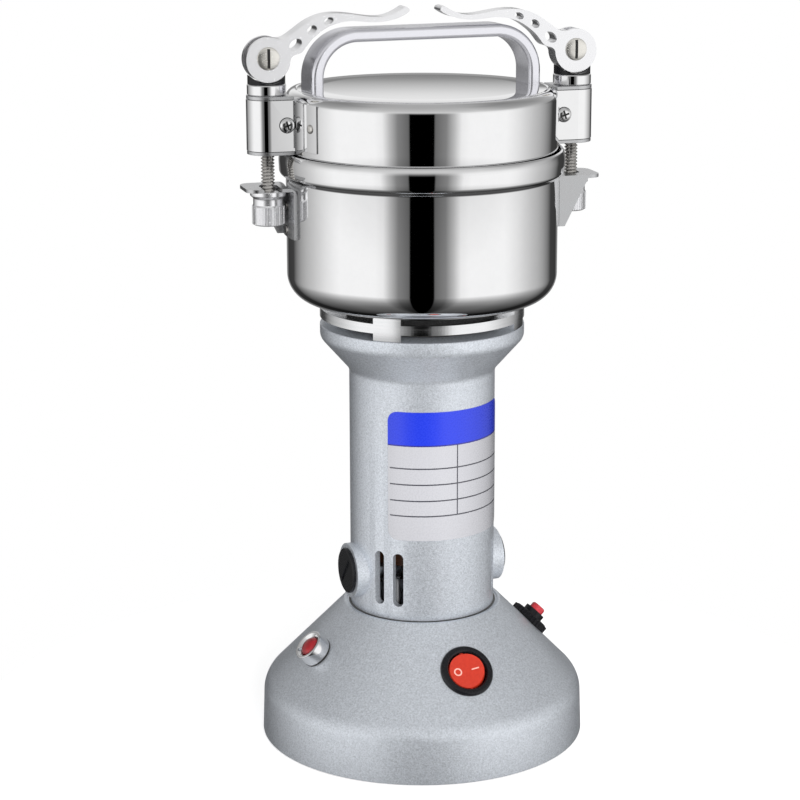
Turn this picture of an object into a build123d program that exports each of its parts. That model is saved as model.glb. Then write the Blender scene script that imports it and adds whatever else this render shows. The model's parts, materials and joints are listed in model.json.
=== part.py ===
from build123d import *
import math
import os

os.makedirs("parts", exist_ok=True)

# Electric grain mill. Millimetres, +Z up, front at -Y, origin at the middle of the
# footprint on the table. The lid handle and the brush caps lie along X.

# Feet and base plate
foot_height = 3.0           # table to the base plate
foot_radius = 9.0
foot_taper = 0.6
foot_inset = 13.8           # base shell's side to the middle of a foot
foot_pocket_gap = 0.5       # round the screw's head
foot_angle = 45.0           # of the first foot, from +X
plate_thickness = 2.0
plate_gap = 0.4             # base plate to the base shell all round

# Base shell
rim_lift = 1.0              # table to the shell's lower rim
base_radius = 74.4
base_lean = 0.8             # how far the side leans in up to the shoulder
shoulder_height = 24.4
shoulder_round = 11.0
shell_wall = 2.5
cone_rise = 38.5            # shoulder to the rim that the column stands in
rim_width = 1.4
rim_groove = 1.8            # rim to the column
ledge_depth = 0.4           # rim's top down to the ledge under the column
ledge_thickness = 3.0
ledge_bore = 22.0
post_radius = 5.0           # screw posts under the cone
terminal_length = 34.0      # mains terminal block
terminal_depth = 17.0
terminal_height = 13.0
terminal_setback = 26.0     # behind the mill's axis
terminal_pitch = 8.0
terminal_pocket = (5.0, 10.0, 3.0)
terminal_count = 4

# Column: motor housing
column_radius = 33.0
column_height = 111.0       # ledge to the start of the flare
column_wall = 2.0
flare_rise = 14.7
collar_radius = 46.0
collar_height = 6.0         # flare to the top flange
flange_thickness = 3.0
flange_bore = 26.0
lip_bore = 25.0             # lip at the column's foot
lip_thickness = 3.0
vent_width = 5.0
vent_length = 25.0
vent_lift = 6.5             # ledge to the vents' lower end
vent_angles = (-57.5, -41.0, 57.0, 122.5, 139.0, -122.5, -139.0)   # from the front

# Vented spacer between the motor housing and the bowl
spacer_wall = 11.5          # ring's outside to its bore
spacer_ring = 4.2
window_height = 3.4
spacer_post = 12.8          # width of each of the four posts
spacer_post_angle = -131.5  # of the first post, from +X

# Bowl
bowl_radius = 60.4
bowl_wall = 1.2
bowl_side = 56.6            # floor to the foot of the collar
bowl_corner = 12.2
collar_reach = 3.2          # bulge of the collar beyond the wall
lip_reach = 2.1             # collar's lip beyond the wall
lip_rise = 11.0             # foot of the collar to its lip
lip_width = 1.1
seat_rise = 4.0             # foot of the collar to the gasket's seat

# Lid
gasket_gap = 0.3            # gasket to its seat
gasket_height = 2.0
lid_height = 31.3
lid_round = 5.0
lid_wall = 1.2
crease_width = 0.6
crease_depth = 0.3
crease_inset = 4.7          # crease in from the lid's wall
liner_drop = 7.9            # liner's floor below the lid's lower edge
liner_inset = 1.4           # bowl's inside to the liner's side
liner_gap = 0.15            # liner to the lid's wall
gasket_grip = 0.05          # gasket to the liner
gasket_edge = 0.4           # gasket to the bowl's lip

# Lid handle, a bent flat strap
handle_inset = 6.6          # lid's wall to the handle's outside
handle_thickness = 5.5
handle_width = 16.5
handle_height = 27.0        # above the lid's top
handle_bend = 21.0          # outside radius of its corners
handle_edge = 1.8

# Clamps: one at each side of the lid, half a turn apart
clamp_turn = -5.5           # turned from the X axis
rod_offset = 9.6            # bowl's wall to the middle of the rod
rod_radius = 3.0
rod_gap = 0.06
strap_radius = 9.0
strap_thickness = 1.2
strap_lift = 6.7            # lid's lower edge up to the strap
strap_height = 22.0
strap_gap = 0.2             # strap to the block's lips
block_lip = 1.5
block_inset = 0.15          # block's core inside the strap
block_to_lid = 0.2
washer_radius = 8.5
washer_height = 4.9
washer_chamfer = 0.5
saddle_radius = 8.2
saddle_height = 3.8
clamp_screw_inset = 6.8     # rod to the side screws, towards the lid
clamp_screw_drop = 0.3      # side screws above the middle of the strap

# Cam lever, drawn from its pivot: first number towards the mill's axis, second up
pivot_rise = 11.0           # washer's top to the pivot
cam_radius = 9.7
cam_throw = 0.6             # cam's middle below the pivot when it is shut
cam_gap = 0.4               # cam to the saddle
lever_width = 9.6
fork_width = 5.4
fork_reach = 3.6            # pivot to the fork's end
eye_gap = 1.0
tongue_width = 5.0          # flattened end of the rod
eye_radius = 5.2
pivot_radius = 2.5
pivot_gap = 0.05
pivot_head_radius = 5.0
pivot_head_height = 1.0
pivot_slot_width = 1.2
lever_top = ((4.0, 8.24), (7.2, 8.5), (9.8, 9.8), (12.4, 11.6), (17.0, 14.8), (21.0, 16.8),
             (26.0, 18.2), (31.5, 18.5), (39.0, 17.7), (46.5, 16.6), (51.5, 16.6), (56.0, 17.8),
             (60.3, 20.0))
lever_tip = (62.6, 20.0)
lever_under = ((63.0, 18.6), (58.0, 15.9), (53.0, 14.7), (47.0, 14.3), (40.0, 14.9),
               (35.0, 15.0), (31.5, 14.4), (27.0, 13.0), (22.0, 9.9), (18.5, 6.8), (16.0, 3.6),
               (14.2, 2.0), (11.6, 1.2), (9.68, -1.2))
lever_holes = ((12.0, 5.7, 6.2, 4.2, 35.0), (19.4, 11.8, 4.6, 3.4, 35.0),
               (26.8, 15.4, 4.4, 2.8, 22.0))      # place, length, width, tilt

# Bowl brackets and the nuts below them
bracket_drop = 4.5          # bowl wall's top down to the bracket's lower face
bracket_thickness = 1.5
bracket_length = 22.8       # its top down to its lower end
bracket_tip = 11.2          # rod to the bracket's tip
bracket_half_width = 10.4
bracket_corner = 5.0
bracket_bend = 3.6
bracket_inner_bend = 0.8
slot_half_width = 4.0
gusset_reach = 14.4         # along the underside, from the bowl
gusset_foot = 3.5           # at its lower end, from the bowl
rivet_radius = 2.0
rivet_head = 0.5
rivet_drops = (7.7, 18.2)   # below the bracket's lower face
nut_gap = 0.3               # nut to the bracket
nut_height = 15.2
nut_flange_radius = 7.9
nut_flange_height = 2.2
nut_cone_height = 0.9
nut_radius = 7.2
nut_chamfer = 0.6
rod_end_inset = 0.5         # rod's end up inside the nut

# Rocker switch, round, at the front of the cone
switch_inset = 20.1         # shoulder to its middle
switch_bezel_radius = 12.1
switch_bezel_height = 1.7
switch_seat = 1.05          # spot face sunk in the cone
switch_bore = 8.9
switch_barrel_radius = 10.4
switch_depth = 18.0
rocker_radius = 8.4
rocker_sink = 1.2           # its pivot below the cone's surface
rocker_crest = 1.8          # pivot to the dip in the middle of its face
rocker_tilt = 11.0
rocker_pin_radius = 1.2
rocker_pin_length = 1.2
rocker_clearance = 0.4      # round the rocker inside the switch

# Pilot lamp at the left of the cone
lamp_angle = -84.0
lamp_inset = 19.8
lamp_sleeve_radius = 7.25
lamp_sleeve_height = 7.1
lamp_rim = 0.7              # sleeve's flat end
lamp_chamfer = 0.4
lamp_funnel = 1.6           # depth of the slope from its end to the lens
lamp_barrel_radius = 5.9
lamp_barrel_depth = 14.0
lamp_lens_radius = 4.6
lamp_lens_height = 7.9
lamp_lens_dome = 1.9
lamp_lens_depth = 3.0       # its foot below the cone's surface
lamp_lens_gap = 0.1
lamp_nut_radius = 8.2
lamp_nut_height = 3.2
lamp_nut_gap = 0.8          # to the shell's inside
fitting_seat = 0.7          # spot faces of the lamp and the breaker

# Overload breaker with its reset button, at the right of the cone
breaker_angle = 90.0
breaker_inset = 19.6
breaker_nut_radius = 9.6
breaker_nut_height = 3.2
breaker_barrel_radius = 5.1
breaker_barrel_height = 5.8
breaker_body_radius = 10.0
breaker_depth = 24.0
breaker_body_gap = 0.9      # to the shell's inside
breaker_chamfer = 0.6
reset_radius = 3.5
reset_height = 8.7
reset_depth = 5.0           # button's end below the cone's surface
reset_travel = 2.5
reset_stop_gap = 0.5
reset_round = 1.0

# Cord inlet at the back
inlet_height = 12.6
inlet_bore = 3.6
grommet_radius = 6.8
grommet_neck = 5.0
grommet_flange = 1.2
grommet_seat = 1.2          # flat spot sunk in the side
grommet_slack = 1.0         # inner flange to the shell's inside
grommet_taper = 0.4

# Name plate, blank
label_lift = 38.2           # ledge to its lower edge
label_height = 59.3
label_start_angle = -52.0   # from the front
label_end_angle = 63.0
label_thickness = 0.3
label_gap = 0.02

# Motor
bearing_radius = 11.0
bearing_width = 7.0
bearing_race = 2.0
bearing_cage_inset = 1.0
shaft_radius = 4.0
running_gap = 0.04
press_gap = 0.02
shaft_foot = 2.0            # below the lower bearing
bracket_bore_gap = 3.0      # shaft to the brackets' plates
stator_length = 50.0
stator_lift = 33.0          # ledge to the stator's foot
stator_bore = 17.2
stator_gap = 0.3
coil_height = 9.0
coil_gap = 1.2              # stator's bore to the coils
coil_wall = 8.6
coil_window = 14.0          # width of the core's windows
coil_leg_width = 12.0
coil_leg_inset = 2.0        # leg's outside in from the end turns'
coil_end_gap = 0.5          # end turns to the core
coil_half_gap = 4.0         # middle plane to the end turns
air_gap = 0.8               # armature to stator
armature_slots = 12
armature_slot_width = 2.0
armature_slot_depth = 3.5
winding_inset = 2.0         # armature's outside to its end turns'
commutator_radius = 11.0
commutator_length = 11.0
commutator_bars = 12
commutator_slot_width = 0.6
commutator_slot_depth = 1.0
brush_height = 18.0         # ledge to the brushes' axis
brush_width = 7.8
brush_thickness = 5.8
brush_length = 12.0
brush_gap = 0.3
holder_radius = 7.1
holder_gap = 0.15
holder_lift = 2.0           # commutator to the holder
boss_radius = 12.5
boss_rise = 3.2             # column to the boss's face
boss_depth = 12.0           # boss in from the column's inside
cap_radius = 10.4
cap_height = 1.6
cap_plug_radius = 9.0
cap_plug_length = 2.6
cap_slot_width = 2.0
cap_slot_depth = 1.0
spring_radius = 2.2
spring_wire = 0.35
spring_turns = 5
spring_gap = 0.05
fan_gap = 4.0               # column's inside to the fan
fan_plate = 1.5
fan_hub = 9.0
fan_blade = 1.4
fan_blade_inset = 2.0
fan_blade_turn = 20.0
fan_height = 10.0
fan_lift = 100.0            # ledge to the fan's plate
fan_blades = 12
bracket_plate = 2.2         # plates of the two bearing brackets
lower_plate_gap = 0.2       # besides the running gap
upper_plate_inset = 6.0     # collar to the upper plate
hub_wall = 1.8

# Spindle in the bowl
seal_radius = 14.0
seal_neck_radius = 9.0
seal_neck_rise = 4.0
seal_gap = 0.05
seal_taper = 3.0
seal_lift = 1.5             # above the motor housing
blade_gaps = (8.8, 11.8, 16.8)   # bowl's inside to the tips
blade_width = 13.0
blade_thickness = 1.6
blade_lift = 7.0            # bowl's floor to the lowest blade
blade_pitch = 6.5
blade_angles = (20.0, 80.0, 140.0)
blade_grind = 35.0          # angle of the ground edges
blade_sleeve_wall = 3.0
blade_sleeve_gap = 0.3      # above the shaft seal
blade_nut_flat = 13.0
blade_nut_height = 6.5
shaft_overrun = 2.0

# Screws
screw_head = 3.2
screw_head_height = 1.8
screw_shank = 1.65
screw_gap = 0.15
thread_gap = 0.05
screw_spare = 3.0           # depth of a blind hole past its screw
base_screw_reach = 9.0      # above the base plate
handle_screw_reach = 9.0    # above the lid
bowl_screw_inset = 5.8      # collar to the bowl screws
housing_screw_inset = 4.7   # column to the housing screws

# Cutting tools
past = 1.0                  # how far a cut runs past a face
cut_depth = 8.0             # cuts through the cone, inwards
cut_height = 4.0            # and outwards
far = 200.0                 # wider than the mill

# Sizes and levels that follow from those above
foot_circle = base_radius - foot_inset
rod_distance = bowl_radius + rod_offset
bracket_reach = rod_distance + bracket_tip
handle_span = 2 * (bowl_radius - handle_inset)
plate_top = foot_height + plate_thickness
cone_top = shoulder_height + cone_rise
ledge = cone_top - ledge_depth
column_bore = column_radius - column_wall
flare_foot = ledge + column_height
flare_top = flare_foot + flare_rise
housing_top = flare_top + collar_height
bowl_floor = housing_top + 2 * window_height + spacer_ring
bowl_inside = bowl_radius - bowl_wall
bowl_side_top = bowl_floor + bowl_side
seat_level = bowl_side_top + seat_rise
gasket_foot = seat_level + gasket_gap
lid_foot = gasket_foot + gasket_height
lid_top = lid_foot + lid_height
strap_foot = lid_foot + strap_lift
strap_top = strap_foot + strap_height
block_foot = strap_foot - strap_gap - block_lip
block_top = strap_top + strap_gap + block_lip
washer_top = block_top + washer_height
pivot_level = washer_top + pivot_rise
bracket_foot = bowl_side_top - bracket_drop
bracket_top = bracket_foot + bracket_thickness
nut_top = bracket_foot - nut_gap
nut_foot = nut_top - nut_height
brush_level = ledge + brush_height
stator_foot = ledge + stator_lift
stator_top = stator_foot + stator_length
cone_top_radius = column_radius + rim_groove + rim_width
shoulder_radius = base_radius - base_lean
switch_distance = shoulder_radius - switch_inset
lamp_distance = shoulder_radius - lamp_inset
breaker_distance = shoulder_radius - breaker_inset
boss_face = column_radius + boss_rise
housing_screw_circle = column_radius - housing_screw_inset
bowl_screw_circle = collar_radius - bowl_screw_inset
spacer_bore = collar_radius - spacer_wall
upper_plate_radius = collar_radius - upper_plate_inset
fan_radius = column_bore - fan_gap
hub_radius = bearing_radius + hub_wall
coil_bore = stator_bore + coil_gap
blade_radii = [bowl_inside - gap for gap in blade_gaps]
lower_bracket_foot = ledge + lip_thickness
lower_bearing_foot = lower_bracket_foot + bracket_plate
upper_bracket_top = housing_top - flange_thickness
upper_bearing_top = upper_bracket_top - bracket_plate


def turned(points):
    """Solid of revolution about Z through (radius, height) points."""
    outline = Polyline(*[(radius, 0, height) for radius, height in points], close=True)
    return revolve(make_face(outline), Axis.Z)


def ring(outer, inner, low, high):
    """Tube about Z."""
    return turned([(inner, low), (outer, low), (outer, high), (inner, high)])


def disc(radius, low, high):
    """Cylinder about Z."""
    return Pos(0, 0, low) * Cylinder(radius, high - low, align=(Align.CENTER, Align.CENTER, Align.MIN))


def circle_edges(solid, radius, height):
    """Round edges about Z with this radius at this height."""
    return [edge for edge in solid.edges().filter_by(GeomType.CIRCLE)
            if abs(edge.radius - radius) < 0.01 and abs(edge.arc_center.Z - height) < 0.01]


def around(shape, count, first=0.0):
    """Copies of a shape, evenly spaced about Z."""
    return [Rot(0, 0, first + 360.0 / count * step) * shape for step in range(count)]


cone_run = shoulder_radius - cone_top_radius
cone_length = math.hypot(cone_run, cone_rise)
cone_out = cone_rise / cone_length      # radial part of the cone's normal
cone_up = cone_run / cone_length        # vertical part of the cone's normal


def cone_height(radius):
    """Height of the base's cone at this radius."""
    return shoulder_height + (shoulder_radius - radius) * cone_rise / cone_run


def cone_plane(angle, distance):
    """Plane on the cone: its X along the circle, its Y up the slope, its Z outward."""
    turn = math.radians(angle)
    outward = (math.sin(turn), -math.cos(turn))
    return Plane(
        origin=(distance * outward[0], distance * outward[1], cone_height(distance)),
        x_dir=(math.cos(turn), math.sin(turn), 0),
        z_dir=(cone_out * outward[0], cone_out * outward[1], cone_up),
    )


def screw(length):
    """Cross-head screw pointing up, with the underside of its head at z = 0."""
    body = disc(screw_head, -screw_head_height, 0)
    body = fillet(circle_edges(body, screw_head, -screw_head_height), screw_head_height / 2)
    body += disc(screw_shank, 0, length)
    arm = Pos(0, 0, -screw_head_height) * Box(screw_head * 1.2, screw_head / 4, screw_head_height)
    return body - arm - Rot(0, 0, 90) * arm


def clamp_side(side):
    """Turn that carries a shape from +X to the right (1) or left (-1) clamp."""
    return Rot(0, 0, clamp_turn if side > 0 else clamp_turn + 180)


# Base

def base_filled():
    """Outer form of the base shell, filled."""
    form = turned([(0, rim_lift), (base_radius, rim_lift), (shoulder_radius, shoulder_height),
                   (cone_top_radius, cone_top), (0, cone_top)])
    return fillet(circle_edges(form, shoulder_radius, shoulder_height), shoulder_round)


def base_cavity():
    """Space inside the base shell."""
    corner = (shoulder_radius, shoulder_height)
    side = shoulder_radius - shell_wall
    side_top = shoulder_height - shell_wall * (1 - cone_out) / cone_up
    roof = ledge - ledge_thickness
    roof_radius = corner[0] - (shell_wall + (roof - corner[1]) * cone_up) / cone_out
    form = turned([(0, 0), (base_radius - shell_wall, 0), (side, side_top),
                   (roof_radius, roof), (0, roof)])
    return fillet(circle_edges(form, side, side_top), shoulder_round - shell_wall)


def base_housing():
    shell = base_filled() - base_cavity()
    shell -= disc(cone_top_radius - rim_width, ledge, cone_top + past)
    shell -= disc(ledge_bore, ledge - ledge_thickness - past, cone_top)
    post = Pos(foot_circle, 0, 0) * disc(post_radius, plate_top, cone_top)
    for place in around(post, 4, foot_angle):
        shell += place & base_filled()
    hole = Pos(foot_circle, 0, 0) * disc(
        screw_shank + thread_gap, plate_top, plate_top + base_screw_reach + screw_spare)
    for place in around(hole, 4, foot_angle):
        shell -= place
    ledge_hole = Pos(housing_screw_circle, 0, 0) * disc(
        screw_shank + screw_gap, ledge - ledge_thickness - past, ledge + past)
    for place in around(ledge_hole, 4):
        shell -= place

    switch = cone_plane(0, switch_distance)
    shell -= switch * disc(switch_bezel_radius + screw_gap, -switch_seat, cut_height)
    shell -= switch * disc(switch_barrel_radius + screw_gap, -cut_depth, cut_height)
    lamp = cone_plane(lamp_angle, lamp_distance)
    shell -= lamp * disc(lamp_barrel_radius + screw_gap, -cut_depth, cut_height)
    shell -= lamp * disc(lamp_sleeve_radius + screw_gap, -fitting_seat, cut_height)
    breaker = cone_plane(breaker_angle, breaker_distance)
    shell -= breaker * disc(breaker_barrel_radius + screw_gap, -cut_depth, cut_height)
    shell -= breaker * disc(breaker_nut_radius + screw_gap, -fitting_seat, cut_height)

    inlet = Plane(origin=(0, 0, inlet_height), x_dir=(1, 0, 0), z_dir=(0, 1, 0))
    shell -= inlet * disc(grommet_neck + thread_gap, foot_circle, base_radius + past)
    shell -= inlet * disc(grommet_radius + screw_gap, base_radius - grommet_seat, base_radius + past)
    return shell


def base_plate():
    plate = disc(base_radius - shell_wall - plate_gap, foot_height, plate_top)
    hole = Pos(foot_circle, 0, 0) * disc(screw_shank + screw_gap, foot_height - past, plate_top + past)
    for place in around(hole, 4, foot_angle):
        plate -= place
    return plate


def rubber_feet():
    pocket = screw_head + foot_pocket_gap
    foot = turned([(pocket, 0), (foot_radius - foot_taper, 0), (foot_radius, foot_height),
                   (pocket, foot_height)])
    return Compound(around(Pos(foot_circle, 0, 0) * foot, 4, foot_angle))


def base_screws():
    return Compound(around(Pos(foot_circle, 0, foot_height) * screw(
        plate_thickness + base_screw_reach), 4, foot_angle))


def terminal_block():
    width, depth, height = terminal_pocket
    block = Pos(0, terminal_setback, plate_top + terminal_height / 2) * Box(
        terminal_length, terminal_depth, terminal_height)
    for step in range(terminal_count):
        place = Pos((step - (terminal_count - 1) / 2) * terminal_pitch, terminal_setback,
                    plate_top + terminal_height)
        block -= place * Box(width, depth, 2 * height)
    return block


# Motor housing and motor

def flare_inside(radius):
    """Height of the flare's inner face at this radius."""
    length = math.hypot(collar_radius - column_radius, flare_rise)
    out = flare_rise / length
    down = (collar_radius - column_radius) / length
    return flare_foot + (column_wall - (column_radius - radius) * out) / down


def brush_axis(side):
    """Plane at the mill's axis whose Z runs out along a brush."""
    return Plane(origin=(0, 0, brush_level), x_dir=(0, side, 0), z_dir=(side, 0, 0))


def motor_housing():
    collar_bore = collar_radius - column_wall
    shell = turned([
        (lip_bore, ledge), (column_radius, ledge), (column_radius, flare_foot),
        (collar_radius, flare_top), (collar_radius, housing_top), (flange_bore, housing_top),
        (flange_bore, upper_bracket_top), (collar_bore, upper_bracket_top),
        (collar_bore, flare_inside(collar_bore)), (column_bore, flare_inside(column_bore)),
        (column_bore, ledge + lip_thickness), (lip_bore, ledge + lip_thickness),
    ])
    for side in (1, -1):
        axis = brush_axis(side)
        boss = axis * disc(boss_radius, column_bore - boss_depth, boss_face)
        shell += boss - disc(column_bore, ledge, flare_foot)
        shell -= axis * disc(cap_plug_radius + thread_gap, boss_face - cap_plug_length, boss_face + past)
        shell -= axis * disc(holder_radius + holder_gap, commutator_radius, boss_face)
    middle = ledge + vent_lift + vent_length / 2
    for angle in vent_angles:
        turn = math.radians(angle)
        face = Plane(origin=(0, 0, middle), x_dir=(0, 0, 1), z_dir=(math.sin(turn), -math.cos(turn), 0))
        vent = extrude(SlotOverall(vent_length, vent_width), column_radius + past)
        shell -= face * (vent - Box(far, far, 2 * (column_bore - column_wall)))
    for low, high in ((ledge, ledge + lip_thickness), (upper_bracket_top, housing_top)):
        hole = Pos(housing_screw_circle, 0, 0) * disc(screw_shank + screw_gap, low - past, high + past)
        for place in around(hole, 4):
            shell -= place
    hole = Pos(bowl_screw_circle, 0, 0) * disc(
        screw_shank + thread_gap, upper_bracket_top - past, housing_top + past)
    for place in around(hole, 4, spacer_post_angle):
        shell -= place
    return shell


def name_label():
    low = ledge + label_lift
    inner = column_radius + label_gap
    sheet = ring(inner + label_thickness, inner, low, low + label_height)
    sweep_angle = label_end_angle - label_start_angle
    turns = [math.radians(label_start_angle + sweep_angle * step / 4) for step in range(5)]
    fan = Polyline((0, 0), *[(far * math.sin(turn), -far * math.cos(turn)) for turn in turns], close=True)
    wedge = Pos(0, 0, low - past) * extrude(make_face(fan), label_height + 2 * past)
    return sheet & wedge


def housing_screws():
    lower = around(Pos(housing_screw_circle, 0, ledge - ledge_thickness) * screw(
        ledge_thickness + lip_thickness + bracket_plate), 4)
    upper = around(Pos(housing_screw_circle, 0, housing_top) * Rot(180, 0, 0) * screw(
        flange_thickness + bracket_plate), 4)
    return Compound(lower + upper)


def stator_core():
    core = ring(column_bore - stator_gap, stator_bore, stator_foot, stator_top)
    window = Pos(0, 0, (stator_foot + stator_top) / 2) * Box(
        coil_window, 2 * (stator_bore + coil_wall), stator_length + 2 * past)
    return core - window


def field_coils():
    """Two windings that run through the core's windows and bulge at both ends."""
    coils = []
    for turn in (0, 180):
        leg_depth = coil_wall - coil_leg_inset
        leg = Pos(0, coil_bore + leg_depth / 2, (stator_foot + stator_top) / 2) * Box(
            coil_leg_width, leg_depth, stator_length + 2 * coil_height)
        end = ring(coil_bore + coil_wall, coil_bore, 0, coil_height - coil_end_gap)
        half = Pos(0, far / 2 + coil_half_gap, 0) * Box(far, far, far)
        low = Pos(0, 0, stator_foot - coil_height) * (end & half)
        high = Pos(0, 0, stator_top + coil_end_gap) * (end & half)
        coils.append(Rot(0, 0, turn) * (leg + low + high))
    return Compound(coils)


def lower_bearing_bracket():
    plate = disc(column_bore - running_gap - lower_plate_gap, lower_bracket_foot, lower_bearing_foot)
    hub = disc(hub_radius, lower_bracket_foot, lower_bearing_foot + bearing_width)
    body = plate + hub
    body -= disc(bearing_radius + running_gap, lower_bearing_foot, lower_bearing_foot + bearing_width + past)
    body -= disc(shaft_radius + bracket_bore_gap, lower_bracket_foot - past, lower_bearing_foot + past)
    hole = Pos(housing_screw_circle, 0, 0) * disc(
        screw_shank + thread_gap, lower_bracket_foot - past, lower_bearing_foot + past)
    for place in around(hole, 4):
        body -= place
    return body


def upper_bearing_bracket():
    plate = disc(upper_plate_radius, upper_bearing_top, upper_bracket_top)
    hub = disc(hub_radius, upper_bearing_top - bearing_width, upper_bracket_top)
    body = plate + hub
    body -= disc(bearing_radius + running_gap, upper_bearing_top - bearing_width - past, upper_bearing_top)
    body -= disc(shaft_radius + bracket_bore_gap, upper_bearing_top - past, upper_bracket_top + past)
    hole = Pos(housing_screw_circle, 0, 0) * disc(
        screw_shank + thread_gap, upper_bearing_top - past, upper_bracket_top + past)
    bowl_hole = Pos(bowl_screw_circle, 0, 0) * disc(
        screw_head, upper_bearing_top - past, upper_bracket_top + past)
    for place in around(hole, 4) + around(bowl_hole, 4, spacer_post_angle):
        body -= place
    return body


def bearings():
    """Two ball bearings, each with the balls and cage as a thinner middle ring."""
    bore = shaft_radius + running_gap / 2
    made = []
    for low in (lower_bearing_foot, upper_bearing_top - bearing_width):
        races = ring(bearing_radius, bearing_radius - bearing_race, low, low + bearing_width)
        races += ring(bore + bearing_race, bore, low, low + bearing_width)
        made.append(races + ring(bearing_radius - bearing_race, bore + bearing_race,
                                 low + bearing_cage_inset, low + bearing_width - bearing_cage_inset))
    return Compound(made)


def holder_end():
    """Far end of a brush holder, against the cap's plug."""
    return boss_face - cap_plug_length


def brush_holders():
    holders = []
    for side in (1, -1):
        axis = brush_axis(side)
        start = commutator_radius + holder_lift
        tube = disc(holder_radius, start, holder_end())
        middle = (start + holder_end()) / 2
        bore = Pos(0, 0, middle) * Box(
            brush_thickness + 2 * brush_gap, brush_width + 2 * brush_gap, holder_end() - start + 2 * past)
        holders.append(axis * (tube - bore))
    return Compound(holders)


def carbon_brushes():
    middle = commutator_radius + brush_gap + brush_length / 2
    brush = Pos(0, 0, middle) * Box(brush_thickness, brush_width, brush_length)
    return Compound([brush_axis(side) * brush for side in (1, -1)])


def brush_springs():
    start = commutator_radius + brush_gap + brush_length + spring_wire + spring_gap
    height = holder_end() - spring_wire - spring_gap - start
    path = Helix(pitch=height / spring_turns, height=height, radius=spring_radius)
    section = Plane(origin=path @ 0, z_dir=path % 0) * Circle(spring_wire)
    coil = Pos(0, 0, start) * sweep(section, path=path, is_frenet=True)
    return Compound([brush_axis(side) * coil for side in (1, -1)])


def brush_caps():
    cap = disc(cap_radius, boss_face, boss_face + cap_height)
    cap = chamfer(circle_edges(cap, cap_radius, boss_face + cap_height), cap_height / 3)
    cap += disc(cap_plug_radius, holder_end(), boss_face)
    slot = Pos(0, 0, boss_face + cap_height) * Rot(0, 0, 50) * Box(
        2 * cap_radius * 0.72, cap_slot_width, 2 * cap_slot_depth)
    return Compound([brush_axis(side) * (cap - slot) for side in (1, -1)])


def shaft_top():
    """Upper end of the motor shaft, above the blade nut."""
    return blade_level(len(blade_radii) - 1) + blade_thickness + blade_nut_height + shaft_overrun


def motor_shaft():
    return disc(shaft_radius, lower_bearing_foot - shaft_foot, shaft_top())


def armature_core():
    core = ring(stator_bore - air_gap, shaft_radius, stator_foot, stator_top)
    slot = Pos(stator_bore - air_gap, 0, stator_foot - past) * Box(
        2 * armature_slot_depth, armature_slot_width, stator_length + 2 * past,
        align=(Align.CENTER, Align.CENTER, Align.MIN))
    for place in around(slot, armature_slots):
        core -= place
    return core


def armature_winding():
    outer = stator_bore - air_gap - winding_inset
    low = ring(outer, shaft_radius, stator_foot - coil_height, stator_foot)
    high = ring(outer, shaft_radius, stator_top, stator_top + coil_height)
    low = fillet(circle_edges(low, outer, stator_foot - coil_height), coil_height / 2)
    high = fillet(circle_edges(high, outer, stator_top + coil_height), coil_height / 2)
    return Compound([low, high])


def commutator():
    drum = ring(commutator_radius, shaft_radius, brush_level - commutator_length / 2,
                brush_level + commutator_length / 2)
    gap = Pos(commutator_radius, 0, brush_level) * Box(
        2 * commutator_slot_depth, commutator_slot_width, commutator_length + 2 * past)
    for place in around(gap, commutator_bars):
        drum -= place
    return drum


def cooling_fan():
    low = ledge + fan_lift
    fan = ring(fan_radius, shaft_radius, low, low + fan_plate)
    fan += ring(fan_hub, shaft_radius, low, low + fan_height)
    blade = Pos((fan_radius + fan_hub) / 2, 0, low + fan_height / 2) * Rot(0, 0, fan_blade_turn) * Box(
        fan_radius - fan_hub - fan_blade_inset, fan_blade, fan_height)
    for place in around(blade, fan_blades):
        fan += place
    return fan & disc(fan_radius, low, low + fan_height)


# Spacer and bowl

def vent_spacer():
    body = ring(collar_radius, spacer_bore, housing_top, bowl_floor)
    window = ring(collar_radius + past, spacer_bore - past, 0, window_height + past)
    post = Pos(collar_radius, 0, 0) * Box(collar_radius, spacer_post, 4 * window_height)
    for place in around(post, 4, spacer_post_angle):
        window -= place
    body -= Pos(0, 0, housing_top - past) * window
    body -= Pos(0, 0, bowl_floor - window_height) * window
    hole = Pos(bowl_screw_circle, 0, 0) * disc(screw_shank + screw_gap, housing_top - past, bowl_floor + past)
    for place in around(hole, 4, spacer_post_angle):
        body -= place
    return body


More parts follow.
